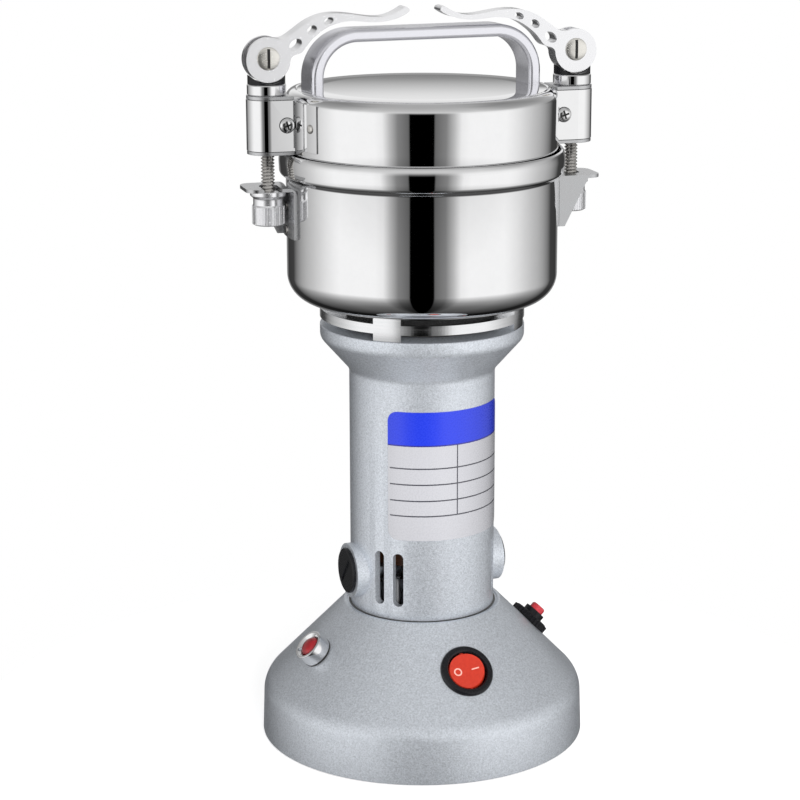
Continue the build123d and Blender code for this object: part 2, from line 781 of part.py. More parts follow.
def bowl():
    inside = bowl_inside
    lip = bowl_radius + lip_reach
    lip_top = bowl_side_top + lip_rise
    wall_inner = lip - lip_width
    outline = (
        Polyline((0, 0, bowl_floor), (bowl_radius, 0, bowl_floor), (bowl_radius, 0, bowl_side_top))
        + ThreePointArc((bowl_radius, 0, bowl_side_top),
                        (bowl_radius + collar_reach, 0, bowl_side_top + lip_rise / 2),
                        (lip, 0, lip_top))
        + Polyline((lip, 0, lip_top), (wall_inner, 0, lip_top), (wall_inner, 0, seat_level),
                   (inside, 0, seat_level), (inside, 0, bowl_floor + bowl_wall),
                   (0, 0, bowl_floor + bowl_wall), (0, 0, bowl_floor))
    )
    body = revolve(make_face(outline), Axis.Z)
    body = fillet(circle_edges(body, bowl_radius, bowl_floor), bowl_corner)
    body = fillet(circle_edges(body, inside, bowl_floor + bowl_wall), bowl_corner - bowl_wall)
    body = fillet(circle_edges(body, lip, lip_top) + circle_edges(body, wall_inner, lip_top), lip_width / 3)
    floor_top = bowl_floor + bowl_wall
    body -= disc(seal_neck_radius + seal_gap, bowl_floor - past, floor_top + past)
    hole = Pos(bowl_screw_circle, 0, 0) * disc(screw_shank + screw_gap, bowl_floor - past, floor_top + past)
    for place in around(hole, 4, spacer_post_angle):
        body -= place
    for side in (1, -1):
        for drop in rivet_drops:
            hole = rivet_axis(drop) * disc(
                rivet_shank() + thread_gap, bowl_inside - cut_height, bowl_radius + past)
            body -= clamp_side(side) * hole
    return body


def bowl_screws():
    length = bowl_wall + bowl_floor - housing_top + flange_thickness
    one = Pos(bowl_screw_circle, 0, bowl_floor + bowl_wall) * Rot(180, 0, 0) * screw(length)
    return Compound(around(one, 4, spacer_post_angle))


def shaft_seal():
    bore = shaft_radius + seal_gap
    neck_top = bowl_floor + bowl_wall + seal_neck_rise
    foot = housing_top + seal_lift
    return turned([(bore, foot), (seal_radius - seal_taper, foot), (seal_radius, bowl_floor - seal_taper),
                   (seal_radius, bowl_floor), (seal_neck_radius, bowl_floor), (seal_neck_radius, neck_top),
                   (bore, neck_top)])


def rivet_shank():
    """Radius of a rivet's shank."""
    return rivet_radius * 0.7


def rivet_axis(drop):
    """Plane at the mill's axis whose Z runs out through a rivet."""
    return Plane(origin=(0, 0, bracket_foot - drop), x_dir=(0, 1, 0), z_dir=(1, 0, 0))


def bowl_bracket(side):
    """Bent bracket whose slot the rod swings into, with a gusset at its closed side."""
    outer = bowl_radius + bracket_thickness
    low = bracket_top - bracket_length
    end = 1.1 * bracket_reach
    profile = Polyline(
        (bowl_radius, 0, low), (outer, 0, low), (outer, 0, bracket_foot), (end, 0, bracket_foot),
        (end, 0, bracket_top), (bowl_radius, 0, bracket_top), close=True)
    body = revolve(Rot(0, 0, -20) * make_face(profile), Axis.Z, 40)
    body = fillet(circle_edges(body, bowl_radius, bracket_top), bracket_bend)
    body = fillet(circle_edges(body, outer, bracket_foot), bracket_inner_bend)
    plan = Rectangle(2 * bracket_reach, 2 * bracket_half_width)
    plan = fillet(plan.vertices(), bracket_corner)
    body &= Pos(0, 0, low - past) * extrude(plan, bracket_length + 2 * past)
    slot = Pos(rod_distance, 0, 0) * disc(slot_half_width, bracket_foot - past, bracket_top + past)
    slot += Pos(rod_distance, bracket_half_width, bracket_top) * Box(
        2 * slot_half_width, 2 * bracket_half_width, 3 * bracket_thickness)
    gusset_face = make_face(Polyline(
        (bowl_radius + bracket_thickness / 2, 0, low), (bowl_radius + gusset_foot, 0, low),
        (bowl_radius + gusset_reach, 0, bracket_foot), (bowl_radius + bracket_thickness / 2, 0, bracket_foot),
        close=True))
    gusset = Pos(0, bracket_thickness - bracket_half_width, 0) * extrude(
        gusset_face, bracket_thickness, dir=(0, -1, 0))
    body = body - slot + gusset - disc(bowl_radius, low - past, bracket_top + past)
    for drop in rivet_drops:
        body -= rivet_axis(drop) * disc(rivet_shank() + thread_gap, bowl_radius - cut_height, outer + past)
    return clamp_side(side) * body


def bracket_rivets():
    outer = bowl_radius + bracket_thickness
    rivet = turned([(0, bowl_inside), (rivet_shank(), bowl_inside), (rivet_shank(), outer),
                    (rivet_radius, outer), (rivet_radius, outer + rivet_head / 2),
                    (rivet_radius - rivet_head / 2, outer + rivet_head), (0, outer + rivet_head)])
    return Compound([clamp_side(side) * (rivet_axis(drop) * rivet)
                     for side in (1, -1) for drop in rivet_drops])


# Grinding blades

def blade_level(step):
    """Lower face of a blade."""
    return bowl_floor + bowl_wall + blade_lift + step * blade_pitch


def grinding_blades():
    """Three crossed blades with hooked, sharpened ends."""
    blades = []
    for step, (reach, angle) in enumerate(zip(blade_radii, blade_angles)):
        low = blade_level(step)
        blade = Pos(0, 0, low + blade_thickness / 2) * Box(2 * reach, blade_width, blade_thickness)
        for turn in (0, 180):
            edge = Pos(reach * 0.72, blade_width / 2, low + blade_thickness) * Rot(blade_grind, 0, 0) * Box(
                reach * 0.56, blade_width / 2, 1.25 * blade_thickness)
            blade -= Rot(0, 0, turn) * edge
        blade = blade & disc(reach, low, low + blade_thickness)
        blade -= disc(shaft_radius + press_gap, low - past, low + blade_thickness + past)
        blades.append(Rot(0, 0, angle) * blade)
    return Compound(blades)


def blade_sleeves():
    """Sleeves that space the blades along the shaft."""
    outer = shaft_radius + blade_sleeve_wall
    bore = shaft_radius + press_gap
    start = bowl_floor + bowl_wall + seal_neck_rise + blade_sleeve_gap
    sleeves = [ring(outer, bore, start, blade_level(0))]
    for step in range(len(blade_radii) - 1):
        sleeves.append(ring(outer, bore, blade_level(step) + blade_thickness, blade_level(step + 1)))
    return Compound(sleeves)


def blade_nut():
    low = blade_level(len(blade_radii) - 1) + blade_thickness
    hexagon = RegularPolygon(blade_nut_flat / 2, 6, major_radius=False)
    nut = Pos(0, 0, low) * extrude(hexagon, blade_nut_height)
    return nut - disc(shaft_radius + press_gap, low - past, low + blade_nut_height + past)


# Lid

def lid_shell():
    inner = bowl_radius - lid_wall
    shell = turned([(bowl_radius, lid_foot), (bowl_radius, lid_top), (0, lid_top), (0, lid_top - lid_wall),
                    (inner, lid_top - lid_wall), (inner, lid_foot)])
    shell = fillet(circle_edges(shell, bowl_radius, lid_top), lid_round)
    shell = fillet(circle_edges(shell, inner, lid_top - lid_wall), lid_round - lid_wall)
    crease = bowl_radius - crease_inset
    shell -= ring(crease, crease - crease_width, lid_top - crease_depth, lid_top + past)
    hole = disc(screw_shank + screw_gap, lid_top - lid_wall - past, lid_top + past)
    for side in (1, -1):
        shell -= Pos(side * handle_leg(), 0, 0) * hole
    return shell


def lid_liner():
    side = bowl_inside - liner_inset
    wall = bowl_radius - lid_wall - liner_gap
    low = lid_foot - liner_drop
    thick = lid_wall
    return turned([(0, low), (side, low), (side, lid_foot), (wall, lid_foot), (wall, lid_foot + thick),
                   (side - thick, lid_foot + thick), (side - thick, low + thick), (0, low + thick)])


def lid_gasket():
    side = bowl_inside - liner_inset + gasket_grip
    outer = bowl_radius + lip_reach - lip_width - gasket_edge
    return ring(outer, side, gasket_foot, lid_foot)


def handle_leg():
    """Middle of a handle's leg, from the mill's axis."""
    return handle_span / 2 - handle_thickness / 2


def lid_handle():
    outer = Pos(0, handle_height / 2) * Rectangle(handle_span, handle_height)
    inner_height = handle_height - handle_thickness
    inner = Pos(0, inner_height / 2) * Rectangle(handle_span - 2 * handle_thickness, inner_height)
    outer = fillet(outer.vertices().group_by(Axis.Y)[-1], handle_bend)
    inner = fillet(inner.vertices().group_by(Axis.Y)[-1], handle_bend - handle_thickness)
    strap = extrude(outer - inner, handle_width / 2, both=True)
    long_edges = [edge for edge in strap.edges()
                  if abs(abs(edge.center().Z) - handle_width / 2) < 0.01 and edge.center().Y > 0.01]
    strap = fillet(long_edges, handle_edge)
    body = Pos(0, 0, lid_top) * Rot(90, 0, 0) * strap
    for side in (1, -1):
        body -= Pos(side * handle_leg(), 0, lid_top) * disc(
            screw_shank + thread_gap, -past, handle_screw_reach + screw_spare)
    return body


def handle_screws():
    one = Pos(0, 0, lid_top - lid_wall) * screw(lid_wall + handle_screw_reach)
    return Compound([Pos(side * handle_leg(), 0, 0) * one for side in (1, -1)])


# Clamps

def clamp_plan(radius, low, high):
    """Prism with a round outer end about the rod, open towards the lid."""
    body = Pos(rod_distance, 0, 0) * disc(radius, low, high)
    return body + Pos(rod_distance - strap_radius, 0, (low + high) / 2) * Box(
        2 * strap_radius, 2 * radius, high - low)


def strap_bore():
    """Inner radius of the clamp strap."""
    return strap_radius - strap_thickness


def side_screw_axis(face):
    """Plane on the strap's side whose Z runs into the block."""
    return Plane(origin=(rod_distance - clamp_screw_inset, face * strap_radius,
                         (strap_foot + strap_top) / 2 + clamp_screw_drop),
                 x_dir=(1, 0, 0), z_dir=(0, -face, 0))


def clamp_strap(side):
    body = clamp_plan(strap_radius, strap_foot, strap_top)
    body -= clamp_plan(strap_bore(), strap_foot - past, strap_top + past)
    body -= disc(bowl_radius + thread_gap, strap_foot - past, strap_top + past)
    for face in (1, -1):
        body -= side_screw_axis(face) * disc(screw_shank + thread_gap, -past, strap_thickness + past)
    return clamp_side(side) * body


def clamp_block(side):
    core = strap_bore() - block_inset
    body = clamp_plan(core, block_foot, block_top)
    body += clamp_plan(strap_radius - block_inset, block_foot, block_foot + block_lip)
    body += clamp_plan(strap_radius - block_inset, block_top - block_lip, block_top)
    body -= disc(bowl_radius + block_to_lid, block_foot - past, block_top + past)
    body -= Pos(rod_distance, 0, 0) * disc(rod_radius + rod_gap, block_foot - past, block_top + past)
    for face in (1, -1):
        body -= side_screw_axis(face) * disc(screw_shank + thread_gap, 0, strap_radius * 0.6)
    return clamp_side(side) * body


def clamp_screws():
    return Compound([clamp_side(side) * (side_screw_axis(face) * screw(strap_radius * 0.55))
                     for side in (1, -1) for face in (1, -1)])


def seat_washer(side):
    body = disc(washer_radius, block_top, washer_top)
    edges = circle_edges(body, washer_radius, block_top) + circle_edges(body, washer_radius, washer_top)
    body = chamfer(edges, washer_chamfer)
    body -= disc(rod_radius + rod_gap, block_top - past, washer_top + past)
    return clamp_side(side) * Pos(rod_distance, 0, 0) * body


def cam_saddle(side):
    """Hollowed block that the cam turns in."""
    body = disc(saddle_radius, washer_top, washer_top + saddle_height)
    hollow = cam_radius + cam_throw + cam_gap
    body -= Pos(0, 0, pivot_level) * Rot(90, 0, 0) * Cylinder(hollow, 4 * saddle_radius)
    body -= disc(rod_radius + rod_gap, washer_top - past, washer_top + saddle_height)
    return clamp_side(side) * Pos(rod_distance, 0, 0) * body


def lever_place(side):
    """Carries a shape drawn in the lever's plane to its clamp; the drawing's X runs to the lid."""
    return clamp_side(side) * Pos(rod_distance, 0, pivot_level) * Rot(0, 0, 180) * Rot(90, 0, 0)


def clamp_rod(side):
    """Threaded rod with a flattened eye for the pivot."""
    low = nut_foot + rod_end_inset
    body = disc(rod_radius, low, washer_top)
    tongue = disc(rod_radius, washer_top, pivot_level) & Pos(0, 0, pivot_level) * Box(
        2 * rod_radius, tongue_width, pivot_level)
    eye = Pos(0, 0, pivot_level) * Rot(90, 0, 0) * Cylinder(eye_radius, tongue_width)
    body = body + tongue + eye
    body -= Pos(0, 0, pivot_level) * Rot(90, 0, 0) * Cylinder(pivot_radius + pivot_gap, 2 * tongue_width)
    return clamp_side(side) * Pos(rod_distance, 0, 0) * body


def cam_lever(side):
    outline = (Spline(*lever_top) + ThreePointArc(lever_top[-1], lever_tip, lever_under[0])
               + Spline(*lever_under) + Line(lever_under[-1], lever_top[0]))
    plan = make_face(outline) + Pos(0, -cam_throw) * Circle(cam_radius)
    for x, y, length, width, tilt in lever_holes:
        plan -= Pos(x, y) * Rot(0, 0, tilt) * Ellipse(length / 2, width / 2)
    body = extrude(plan, lever_width / 2, both=True)
    fork = Pos(-cam_radius, 0, 0) * Box(2 * (cam_radius + fork_reach), 6 * cam_radius, fork_width)
    body -= fork + Cylinder(eye_radius + eye_gap, fork_width)
    body -= Cylinder(pivot_radius + pivot_gap / 2, 2 * lever_width)
    return lever_place(side) * body


def pivot_pin(side):
    half = lever_width / 2
    pin = Cylinder(pivot_radius, lever_width)
    for face in (1, -1):
        head = Pos(0, 0, face * (half + pivot_head_height / 2)) * Cylinder(pivot_head_radius, pivot_head_height)
        slot = Pos(0, 0, face * (half + pivot_head_height)) * Box(
            pivot_slot_width, 1.7 * pivot_head_radius, pivot_head_height)
        pin += head - slot
    return lever_place(side) * pin


def knurled_nut(side):
    cone_foot = nut_top - nut_flange_height
    body = turned([
        (rod_radius + rod_gap, nut_foot), (nut_radius - nut_chamfer, nut_foot),
        (nut_radius, nut_foot + nut_chamfer),
        (nut_radius, cone_foot - nut_cone_height), (nut_flange_radius, cone_foot),
        (nut_flange_radius, nut_top), (rod_radius + rod_gap, nut_top)])
    return clamp_side(side) * Pos(rod_distance, 0, 0) * body


# Switch, lamp, breaker and inlet

def switch_body():
    body = disc(switch_bezel_radius, -switch_seat, switch_bezel_height)
    body = fillet(circle_edges(body, switch_bezel_radius, switch_bezel_height), switch_bezel_height / 2)
    body += disc(switch_barrel_radius, -switch_depth, 0)
    floor = -rocker_sink - rocker_radius - rocker_clearance
    body -= disc(switch_bore, floor, switch_bezel_height + past)
    body -= Pos(0, 0, -rocker_sink) * Rot(90, 0, 0) * Cylinder(
        rocker_pin_radius + running_gap, 2 * (rocker_radius + rocker_pin_length + rocker_clearance))
    return cone_plane(0, switch_distance) * body


def rocker():
    """Ball-sided rocker with a shallow V face, resting with its left half pressed."""
    ball = Sphere(rocker_radius)
    face = 2 * rocker_radius
    ball -= Pos(0, 0, -face - 0.6 * rocker_radius) * Box(2 * face, 2 * face, 2 * face)
    for turn in (0, 180):
        top = Rot(0, 0, turn) * Pos(0, 0, rocker_crest) * Rot(0, -rocker_tilt, 0) * Box(
            face, 2 * face, face, align=(Align.MIN, Align.CENTER, Align.MIN))
        ball -= top
    ball += Rot(90, 0, 0) * Cylinder(rocker_pin_radius, 2 * (rocker_radius + rocker_pin_length))
    return cone_plane(0, switch_distance) * Pos(0, 0, -rocker_sink) * Rot(0, -rocker_tilt, 0) * ball


def lamp_bezel():
    bore = lamp_lens_radius + lamp_lens_gap
    body = turned([(bore, -lamp_lens_depth), (lamp_barrel_radius, -lamp_lens_depth),
                   (lamp_barrel_radius, -fitting_seat), (lamp_sleeve_radius, -fitting_seat),
                   (lamp_sleeve_radius, lamp_sleeve_height - lamp_chamfer),
                   (lamp_sleeve_radius - lamp_chamfer, lamp_sleeve_height),
                   (lamp_sleeve_radius - lamp_chamfer - lamp_rim, lamp_sleeve_height),
                   (bore, lamp_sleeve_height - lamp_funnel)])
    body += disc(lamp_barrel_radius, -lamp_barrel_depth, -lamp_lens_depth)
    return cone_plane(lamp_angle, lamp_distance) * body


def lamp_lens():
    side_top = lamp_lens_height - lamp_lens_dome
    curve = (lamp_lens_radius ** 2 + lamp_lens_dome ** 2) / (2 * lamp_lens_dome)
    dome = disc(lamp_lens_radius, side_top, lamp_lens_height) & Pos(0, 0, lamp_lens_height - curve) * Sphere(curve)
    body = disc(lamp_lens_radius, -lamp_lens_depth, side_top) + dome
    return cone_plane(lamp_angle, lamp_distance) * body


def lamp_nut():
    hexagon = RegularPolygon(lamp_nut_radius, 6, major_radius=False)
    high = -shell_wall - lamp_nut_gap
    low = high - lamp_nut_height
    nut = Pos(0, 0, low) * extrude(hexagon, lamp_nut_height)
    nut -= disc(lamp_barrel_radius + thread_gap, low - past, high + past)
    return cone_plane(lamp_angle, lamp_distance) * nut


def breaker_body():
    under = -shell_wall - breaker_body_gap
    body = disc(breaker_barrel_radius, under, breaker_barrel_height)
    body += disc(breaker_body_radius, -breaker_depth, under)
    body -= disc(
        reset_radius + rod_gap, -reset_depth - reset_travel - reset_stop_gap, breaker_barrel_height + past)
    return cone_plane(breaker_angle, breaker_distance) * body


def breaker_nut():
    seat = -fitting_seat
    body = disc(breaker_nut_radius, seat, breaker_nut_height)
    body = chamfer(circle_edges(body, breaker_nut_radius, breaker_nut_height), breaker_chamfer)
    body -= disc(breaker_barrel_radius + thread_gap, seat - past, breaker_nut_height + past)
    return cone_plane(breaker_angle, breaker_distance) * body


def reset_button():
    body = disc(reset_radius, -reset_depth, reset_height)
    body = fillet(circle_edges(body, reset_radius, reset_height), reset_round)
    return cone_plane(breaker_angle, breaker_distance) * body


def cord_grommet():
    inlet = Plane(origin=(0, 0, inlet_height), x_dir=(1, 0, 0), z_dir=(0, 1, 0))
    seat = base_radius - grommet_seat
    inner = base_radius - shell_wall - grommet_slack
    body = turned([(inlet_bore, inner - grommet_flange), (grommet_radius, inner - grommet_flange),
                   (grommet_radius, inner), (grommet_neck, inner), (grommet_neck, seat), (grommet_radius, seat),
                   (grommet_radius - grommet_taper, seat + grommet_flange), (inlet_bore, seat + grommet_flange)])
    return inlet * body


nodes = {
    "base_housing": base_housing(),
    "base_plate": base_plate(),
    "rubber_feet": rubber_feet(),
    "base_screws": base_screws(),
    "terminal_block": terminal_block(),
    "motor_housing": motor_housing(),
    "name_label": name_label(),
    "housing_screws": housing_screws(),
    "stator_core": stator_core(),
    "field_coils": field_coils(),
    "lower_bearing_bracket": lower_bearing_bracket(),
    "upper_bearing_bracket": upper_bearing_bracket(),
    "bearings": bearings(),
    "brush_holders": brush_holders(),
    "carbon_brushes": carbon_brushes(),
    "brush_springs": brush_springs(),
    "brush_caps": brush_caps(),
    "motor_shaft": motor_shaft(),
    "armature_core": armature_core(),
    "armature_winding": armature_winding(),
    "commutator": commutator(),
    "cooling_fan": cooling_fan(),
    "vent_spacer": vent_spacer(),
    "bowl": bowl(),
    "bowl_screws": bowl_screws(),
    "shaft_seal": shaft_seal(),
    "bracket_rivets": bracket_rivets(),
    "grinding_blades": grinding_blades(),
    "blade_sleeves": blade_sleeves(),
    "blade_nut": blade_nut(),
    "lid_shell": lid_shell(),
    "lid_liner": lid_liner(),
    "lid_gasket": lid_gasket(),
    "lid_handle": lid_handle(),
    "handle_screws": handle_screws(),
    "clamp_screws": clamp_screws(),
    "switch_body": switch_body(),
    "rocker": rocker(),
    "lamp_bezel": lamp_bezel(),
    "lamp_lens": lamp_lens(),
    "lamp_nut": lamp_nut(),
    "breaker_body": breaker_body(),
    "breaker_nut": breaker_nut(),
    "reset_button": reset_button(),
    "cord_grommet": cord_grommet(),
}
pairs = {
    "clamp_straps": clamp_strap,
    "clamp_blocks": clamp_block,
    "seat_washers": seat_washer,
    "cam_saddles": cam_saddle,
}
for name, make in pairs.items():
    nodes[name] = Compound([make(1), make(-1)])
handed = {
    "bowl_bracket": bowl_bracket,
    "clamp_rod": clamp_rod,
    "cam_lever": cam_lever,
    "pivot_pin": pivot_pin,
    "knurled_nut": knurled_nut,
}
for name, make in handed.items():
    nodes[f"{name}_right"] = make(1)
    nodes[f"{name}_left"] = make(-1)

for name, shape in nodes.items():
    export_step(shape, f"parts/{name}.step")
print(len(nodes), "nodes")
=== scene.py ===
import json
import math

import bmesh
import bpy
from mathutils import Matrix, Vector


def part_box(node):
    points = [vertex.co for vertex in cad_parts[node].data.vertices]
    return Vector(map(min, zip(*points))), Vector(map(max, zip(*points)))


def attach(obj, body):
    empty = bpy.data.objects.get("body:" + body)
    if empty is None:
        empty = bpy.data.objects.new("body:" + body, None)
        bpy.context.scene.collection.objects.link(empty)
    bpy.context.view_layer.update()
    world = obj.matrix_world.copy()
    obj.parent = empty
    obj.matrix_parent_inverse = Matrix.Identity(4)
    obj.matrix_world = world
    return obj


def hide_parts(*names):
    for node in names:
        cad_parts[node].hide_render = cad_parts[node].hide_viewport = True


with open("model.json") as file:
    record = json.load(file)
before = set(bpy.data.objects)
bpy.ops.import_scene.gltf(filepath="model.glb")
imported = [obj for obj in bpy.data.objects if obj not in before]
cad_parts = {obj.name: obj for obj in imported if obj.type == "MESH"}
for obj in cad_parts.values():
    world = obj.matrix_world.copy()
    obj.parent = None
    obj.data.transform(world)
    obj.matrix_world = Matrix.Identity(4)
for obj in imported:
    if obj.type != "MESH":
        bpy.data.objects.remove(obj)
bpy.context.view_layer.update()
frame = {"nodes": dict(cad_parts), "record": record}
slotOf = {part["node"]: part["material_slot"] for part in frame["record"]["subparts"]}
mm = 0.001              # shapes are drawn in millimetres and scaled when a piece is finished
print("frame loaded with", len(frame["nodes"]), "nodes")


def foot(node):
    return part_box(node)[0].z / mm


def top(node):
    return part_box(node)[1].z / mm


# Camera, studio and floor

white = (1, 1, 1)
camera = {"heading": 22.0, "distance": 1039.2, "height": 423.6, "pitch": 14.37, "lens": 106.16,
          "shift": -0.0275}


def addCamera():
    turn = math.radians(camera["heading"])
    view = bpy.data.cameras.new("millView")
    view.lens = camera["lens"]
    view.shift_x = camera["shift"]
    eye = bpy.data.objects.new("millCamera", view)
    eye.location = Vector((-math.sin(turn), -math.cos(turn), 0)) * camera["distance"] * mm
    eye.location.z = camera["height"] * mm
    eye.rotation_euler = (math.radians(90 - camera["pitch"]), 0, -turn)
    bpy.context.scene.collection.objects.link(eye)
    bpy.context.scene.camera = eye


def addNode(tree, kind, inputs=None, **settings):
    # a new node with its settings; an input is a plain value or another node's output
    node = tree.nodes.new(kind)
    for name, value in settings.items():
        setattr(node, name, value)
    for name, value in (inputs or {}).items():
        if isinstance(value, bpy.types.NodeSocket):
            tree.links.new(value, node.inputs[name])
        else:
            node.inputs[name].default_value = value
    return node


def mathNode(tree, operation, first, second=0.0):
    return addNode(tree, "ShaderNodeMath", {0: first, 1: second}, operation=operation).outputs[0]


def mixColours(tree, share, first, second, blend="MIX"):
    # a colour is red, green and blue or another node's output
    sockets = {0: share}
    for place, colour in ((6, first), (7, second)):
        sockets[place] = colour if isinstance(colour, bpy.types.NodeSocket) else (*colour, 1)
    return addNode(tree, "ShaderNodeMix", sockets, data_type="RGBA", blend_type=blend).outputs[2]


def rampNode(tree, value, stops):
    # greys by a value between 0 and 1; each stop is (value, grey)
    node = addNode(tree, "ShaderNodeValToRGB", {0: value})
    ramp = node.color_ramp
    while len(ramp.elements) < len(stops):
        ramp.elements.new(0.5)
    for element, (place, grey) in zip(ramp.elements, stops):
        element.position = place
        element.color = (grey, grey, grey, 1)
    return node.outputs[0]


def fadeNode(tree, value, start, stop):
    # rises softly from 0 at start to 1 at stop
    node = addNode(tree, "ShaderNodeMapRange", {0: value, 1: start, 2: stop}, interpolation_type="SMOOTHSTEP")
    return node.outputs[0]


def mirroredRay(tree, paths):
    # 1 for what is seen in metal or through glass
    return mathNode(tree, "MAXIMUM", paths.outputs["Is Glossy Ray"], paths.outputs["Is Transmission Ray"])


studio = {
    # grey of the panels by degrees from the front, either side: a dark gap in front, two wide panels
    # and a dark strip behind
    "aroundStops": ((0, 0.0), (10.0, 0.0), (10.8, 0.14), (20, 0.24), (27, 0.55), (33, 0.92), (40, 1.0),
                    (74, 1.0), (81, 0.93), (89, 0.83), (97, 0.71), (106, 0.59), (116, 0.48), (124, 0.37),
                    (134, 0.20), (141, 0.05), (158, 0.04), (166, 0.26), (180, 0.36)),
    # grey overhead by the sine of the direction's height
    "aboveStops": ((0.0, 0.20), (0.100, 0.24), (0.106, 0.29), (0.111, 0.42), (0.122, 0.62), (0.131, 0.78),
                   (0.147, 0.89), (0.32, 0.74), (0.55, 0.57), (0.97, 0.43)),
    # the panels end softly overhead, and the strip behind ends sharply
    "panelFade": (0.06, 0.38),
    "behindFade": (0.01, 0.08),
    "behindStops": ((0.0, 0.0), (125.0, 0.0), (150.0, 1.0), (180.0, 1.0)),
    # the gap in front fades out upwards, and the ceiling is darker at both sides
    "gapStops": ((0.0, 0.0), (10.0, 0.0), (34.0, 1.0), (180.0, 1.0)),
    "gapFade": (0.02, 0.50),
    "flankStops": ((0, 1.0), (50, 1.0), (85, 0.62), (125, 0.50), (150, 0.62), (168, 1.0), (180, 1.0)),
    "flankFade": (0.80, 1.0),
    # share of the panels left below the horizon
    "belowStops": ((0.0, 1.0), (0.28, 1.0), (0.38, 0.70), (0.60, 0.34), (0.80, 0.16), (1.0, 0.06)),
    "soft": 0.75,           # strength of the light that the studio gives matt surfaces
}


def addStudio():
    world = bpy.data.worlds.new("millStudio")
    bpy.context.scene.world = world
    world.use_nodes = True
    tree = world.node_tree
    tree.nodes.clear()
    turn = math.radians(camera["heading"])
    toFront = (-math.sin(turn), -math.cos(turn), 0)
    way = addNode(tree, "ShaderNodeTexCoord").outputs["Generated"]
    height = addNode(tree, "ShaderNodeSeparateXYZ", {0: way}).outputs["Z"]
    flat = addNode(tree, "ShaderNodeVectorMath", {0: way, 1: (1, 1, 0)}, operation="MULTIPLY").outputs[0]
    level = addNode(tree, "ShaderNodeVectorMath", {0: flat}, operation="NORMALIZE").outputs[0]
    facing = addNode(tree, "ShaderNodeVectorMath", {0: level, 1: toFront}, operation="DOT_PRODUCT")
    angle = mathNode(tree, "DIVIDE", mathNode(tree, "ARCCOSINE", facing.outputs["Value"]), math.pi)

    def byAngle(name):
        # greys by degrees from the front
        return rampNode(tree, angle, [(degrees / 180, grey) for degrees, grey in studio[name]])

    def byHeight(name):
        return fadeNode(tree, height, *studio[name])

    above = rampNode(tree, height, studio["aboveStops"])
    for stops, fade in (("gapStops", "gapFade"), ("flankStops", "flankFade")):
        kept = mixColours(tree, byHeight(fade), byAngle(stops), white)
        above = mixColours(tree, 1.0, above, kept, "MULTIPLY")
    below = rampNode(tree, mathNode(tree, "MULTIPLY", height, -1.0), studio["belowStops"])
    sides = mixColours(tree, 1.0, byAngle("aroundStops"), below, "MULTIPLY")
    lift = addNode(tree, "ShaderNodeMix", {
        0: byAngle("behindStops"), 2: byHeight("panelFade"), 3: byHeight("behindFade")})
    panels = mixColours(tree, lift.outputs[0], sides, above)
    paths = addNode(tree, "ShaderNodeLightPath")
    bare = mixColours(tree, paths.outputs["Is Camera Ray"], panels, white)
    light = addNode(tree, "ShaderNodeBackground", {"Color": panels, "Strength": studio["soft"]})
    shown = addNode(tree, "ShaderNodeBackground", {"Color": bare, "Strength": 1.0})
    seen = mathNode(tree, "MAXIMUM", paths.outputs["Is Camera Ray"], mirroredRay(tree, paths))
    mixed = addNode(tree, "ShaderNodeMixShader", {0: seen, 1: light.outputs[0], 2: shown.outputs[0]})
    addNode(tree, "ShaderNodeOutputWorld", {"Surface": mixed.outputs[0]})


floorSize = {"radius": 215.0, "steps": 128, "glow": 0.70, "grey": 0.80}


def addFloor():
    bm = bmesh.new()
    bmesh.ops.create_circle(bm, cap_ends=True, radius=floorSize["radius"] * mm,
                            segments=floorSize["steps"])
    mesh = bpy.data.meshes.new("floor")
    bm.to_mesh(mesh)
    bm.free()
    paint = bpy.data.materials.new("floorWhite")
    paint.use_nodes = True
    tree = paint.node_tree
    tree.nodes.clear()
    grey = floorSize["grey"]
    paths = addNode(tree, "ShaderNodeLightPath")
    matt = addNode(tree, "ShaderNodeBsdfDiffuse", {"Color": (grey, grey, grey, 1)})
    lift = mathNode(tree, "MULTIPLY", paths.outputs["Is Camera Ray"], floorSize["glow"])
    glow = addNode(tree, "ShaderNodeEmission", {"Color": (*white, 1), "Strength": lift})
    both = addNode(tree, "ShaderNodeAddShader", {0: matt.outputs[0], 1: glow.outputs[0]})
    # mirrors and glass show the studio instead of the floor
    mirrored = mirroredRay(tree, paths)
    clear = addNode(tree, "ShaderNodeBsdfTransparent")
    shown = addNode(tree, "ShaderNodeMixShader", {0: mirrored, 1: both.outputs[0], 2: clear.outputs[0]})
    addNode(tree, "ShaderNodeOutputMaterial", {"Surface": shown.outputs[0]})
    mesh.materials.append(paint)
    floor = bpy.data.objects.new("floor", mesh)
    bpy.context.scene.collection.objects.link(floor)


lamps = {
    "front": {"place": (-130, -1100, 330), "size": 600, "watts": 11.5},
    "overhead": {"place": (300, -400, 1300), "size": 900, "watts": 1.5},
}
lampAim = (0, 0, 150)
columnLamp = {"place": (-330, -1050, 260), "aim": (0, 0, 130), "size": 160, "cone": 12.0, "blend": 0.6,
              "watts": 40.0}


def hangLamp(light, place, aim):
    lamp = bpy.data.objects.new(light.name, light)
    lamp.location = Vector(place) * mm
    lamp.rotation_euler = (Vector(aim) * mm - lamp.location).to_track_quat("-Z", "Y").to_euler()
    lamp.visible_glossy = False
    bpy.context.scene.collection.objects.link(lamp)


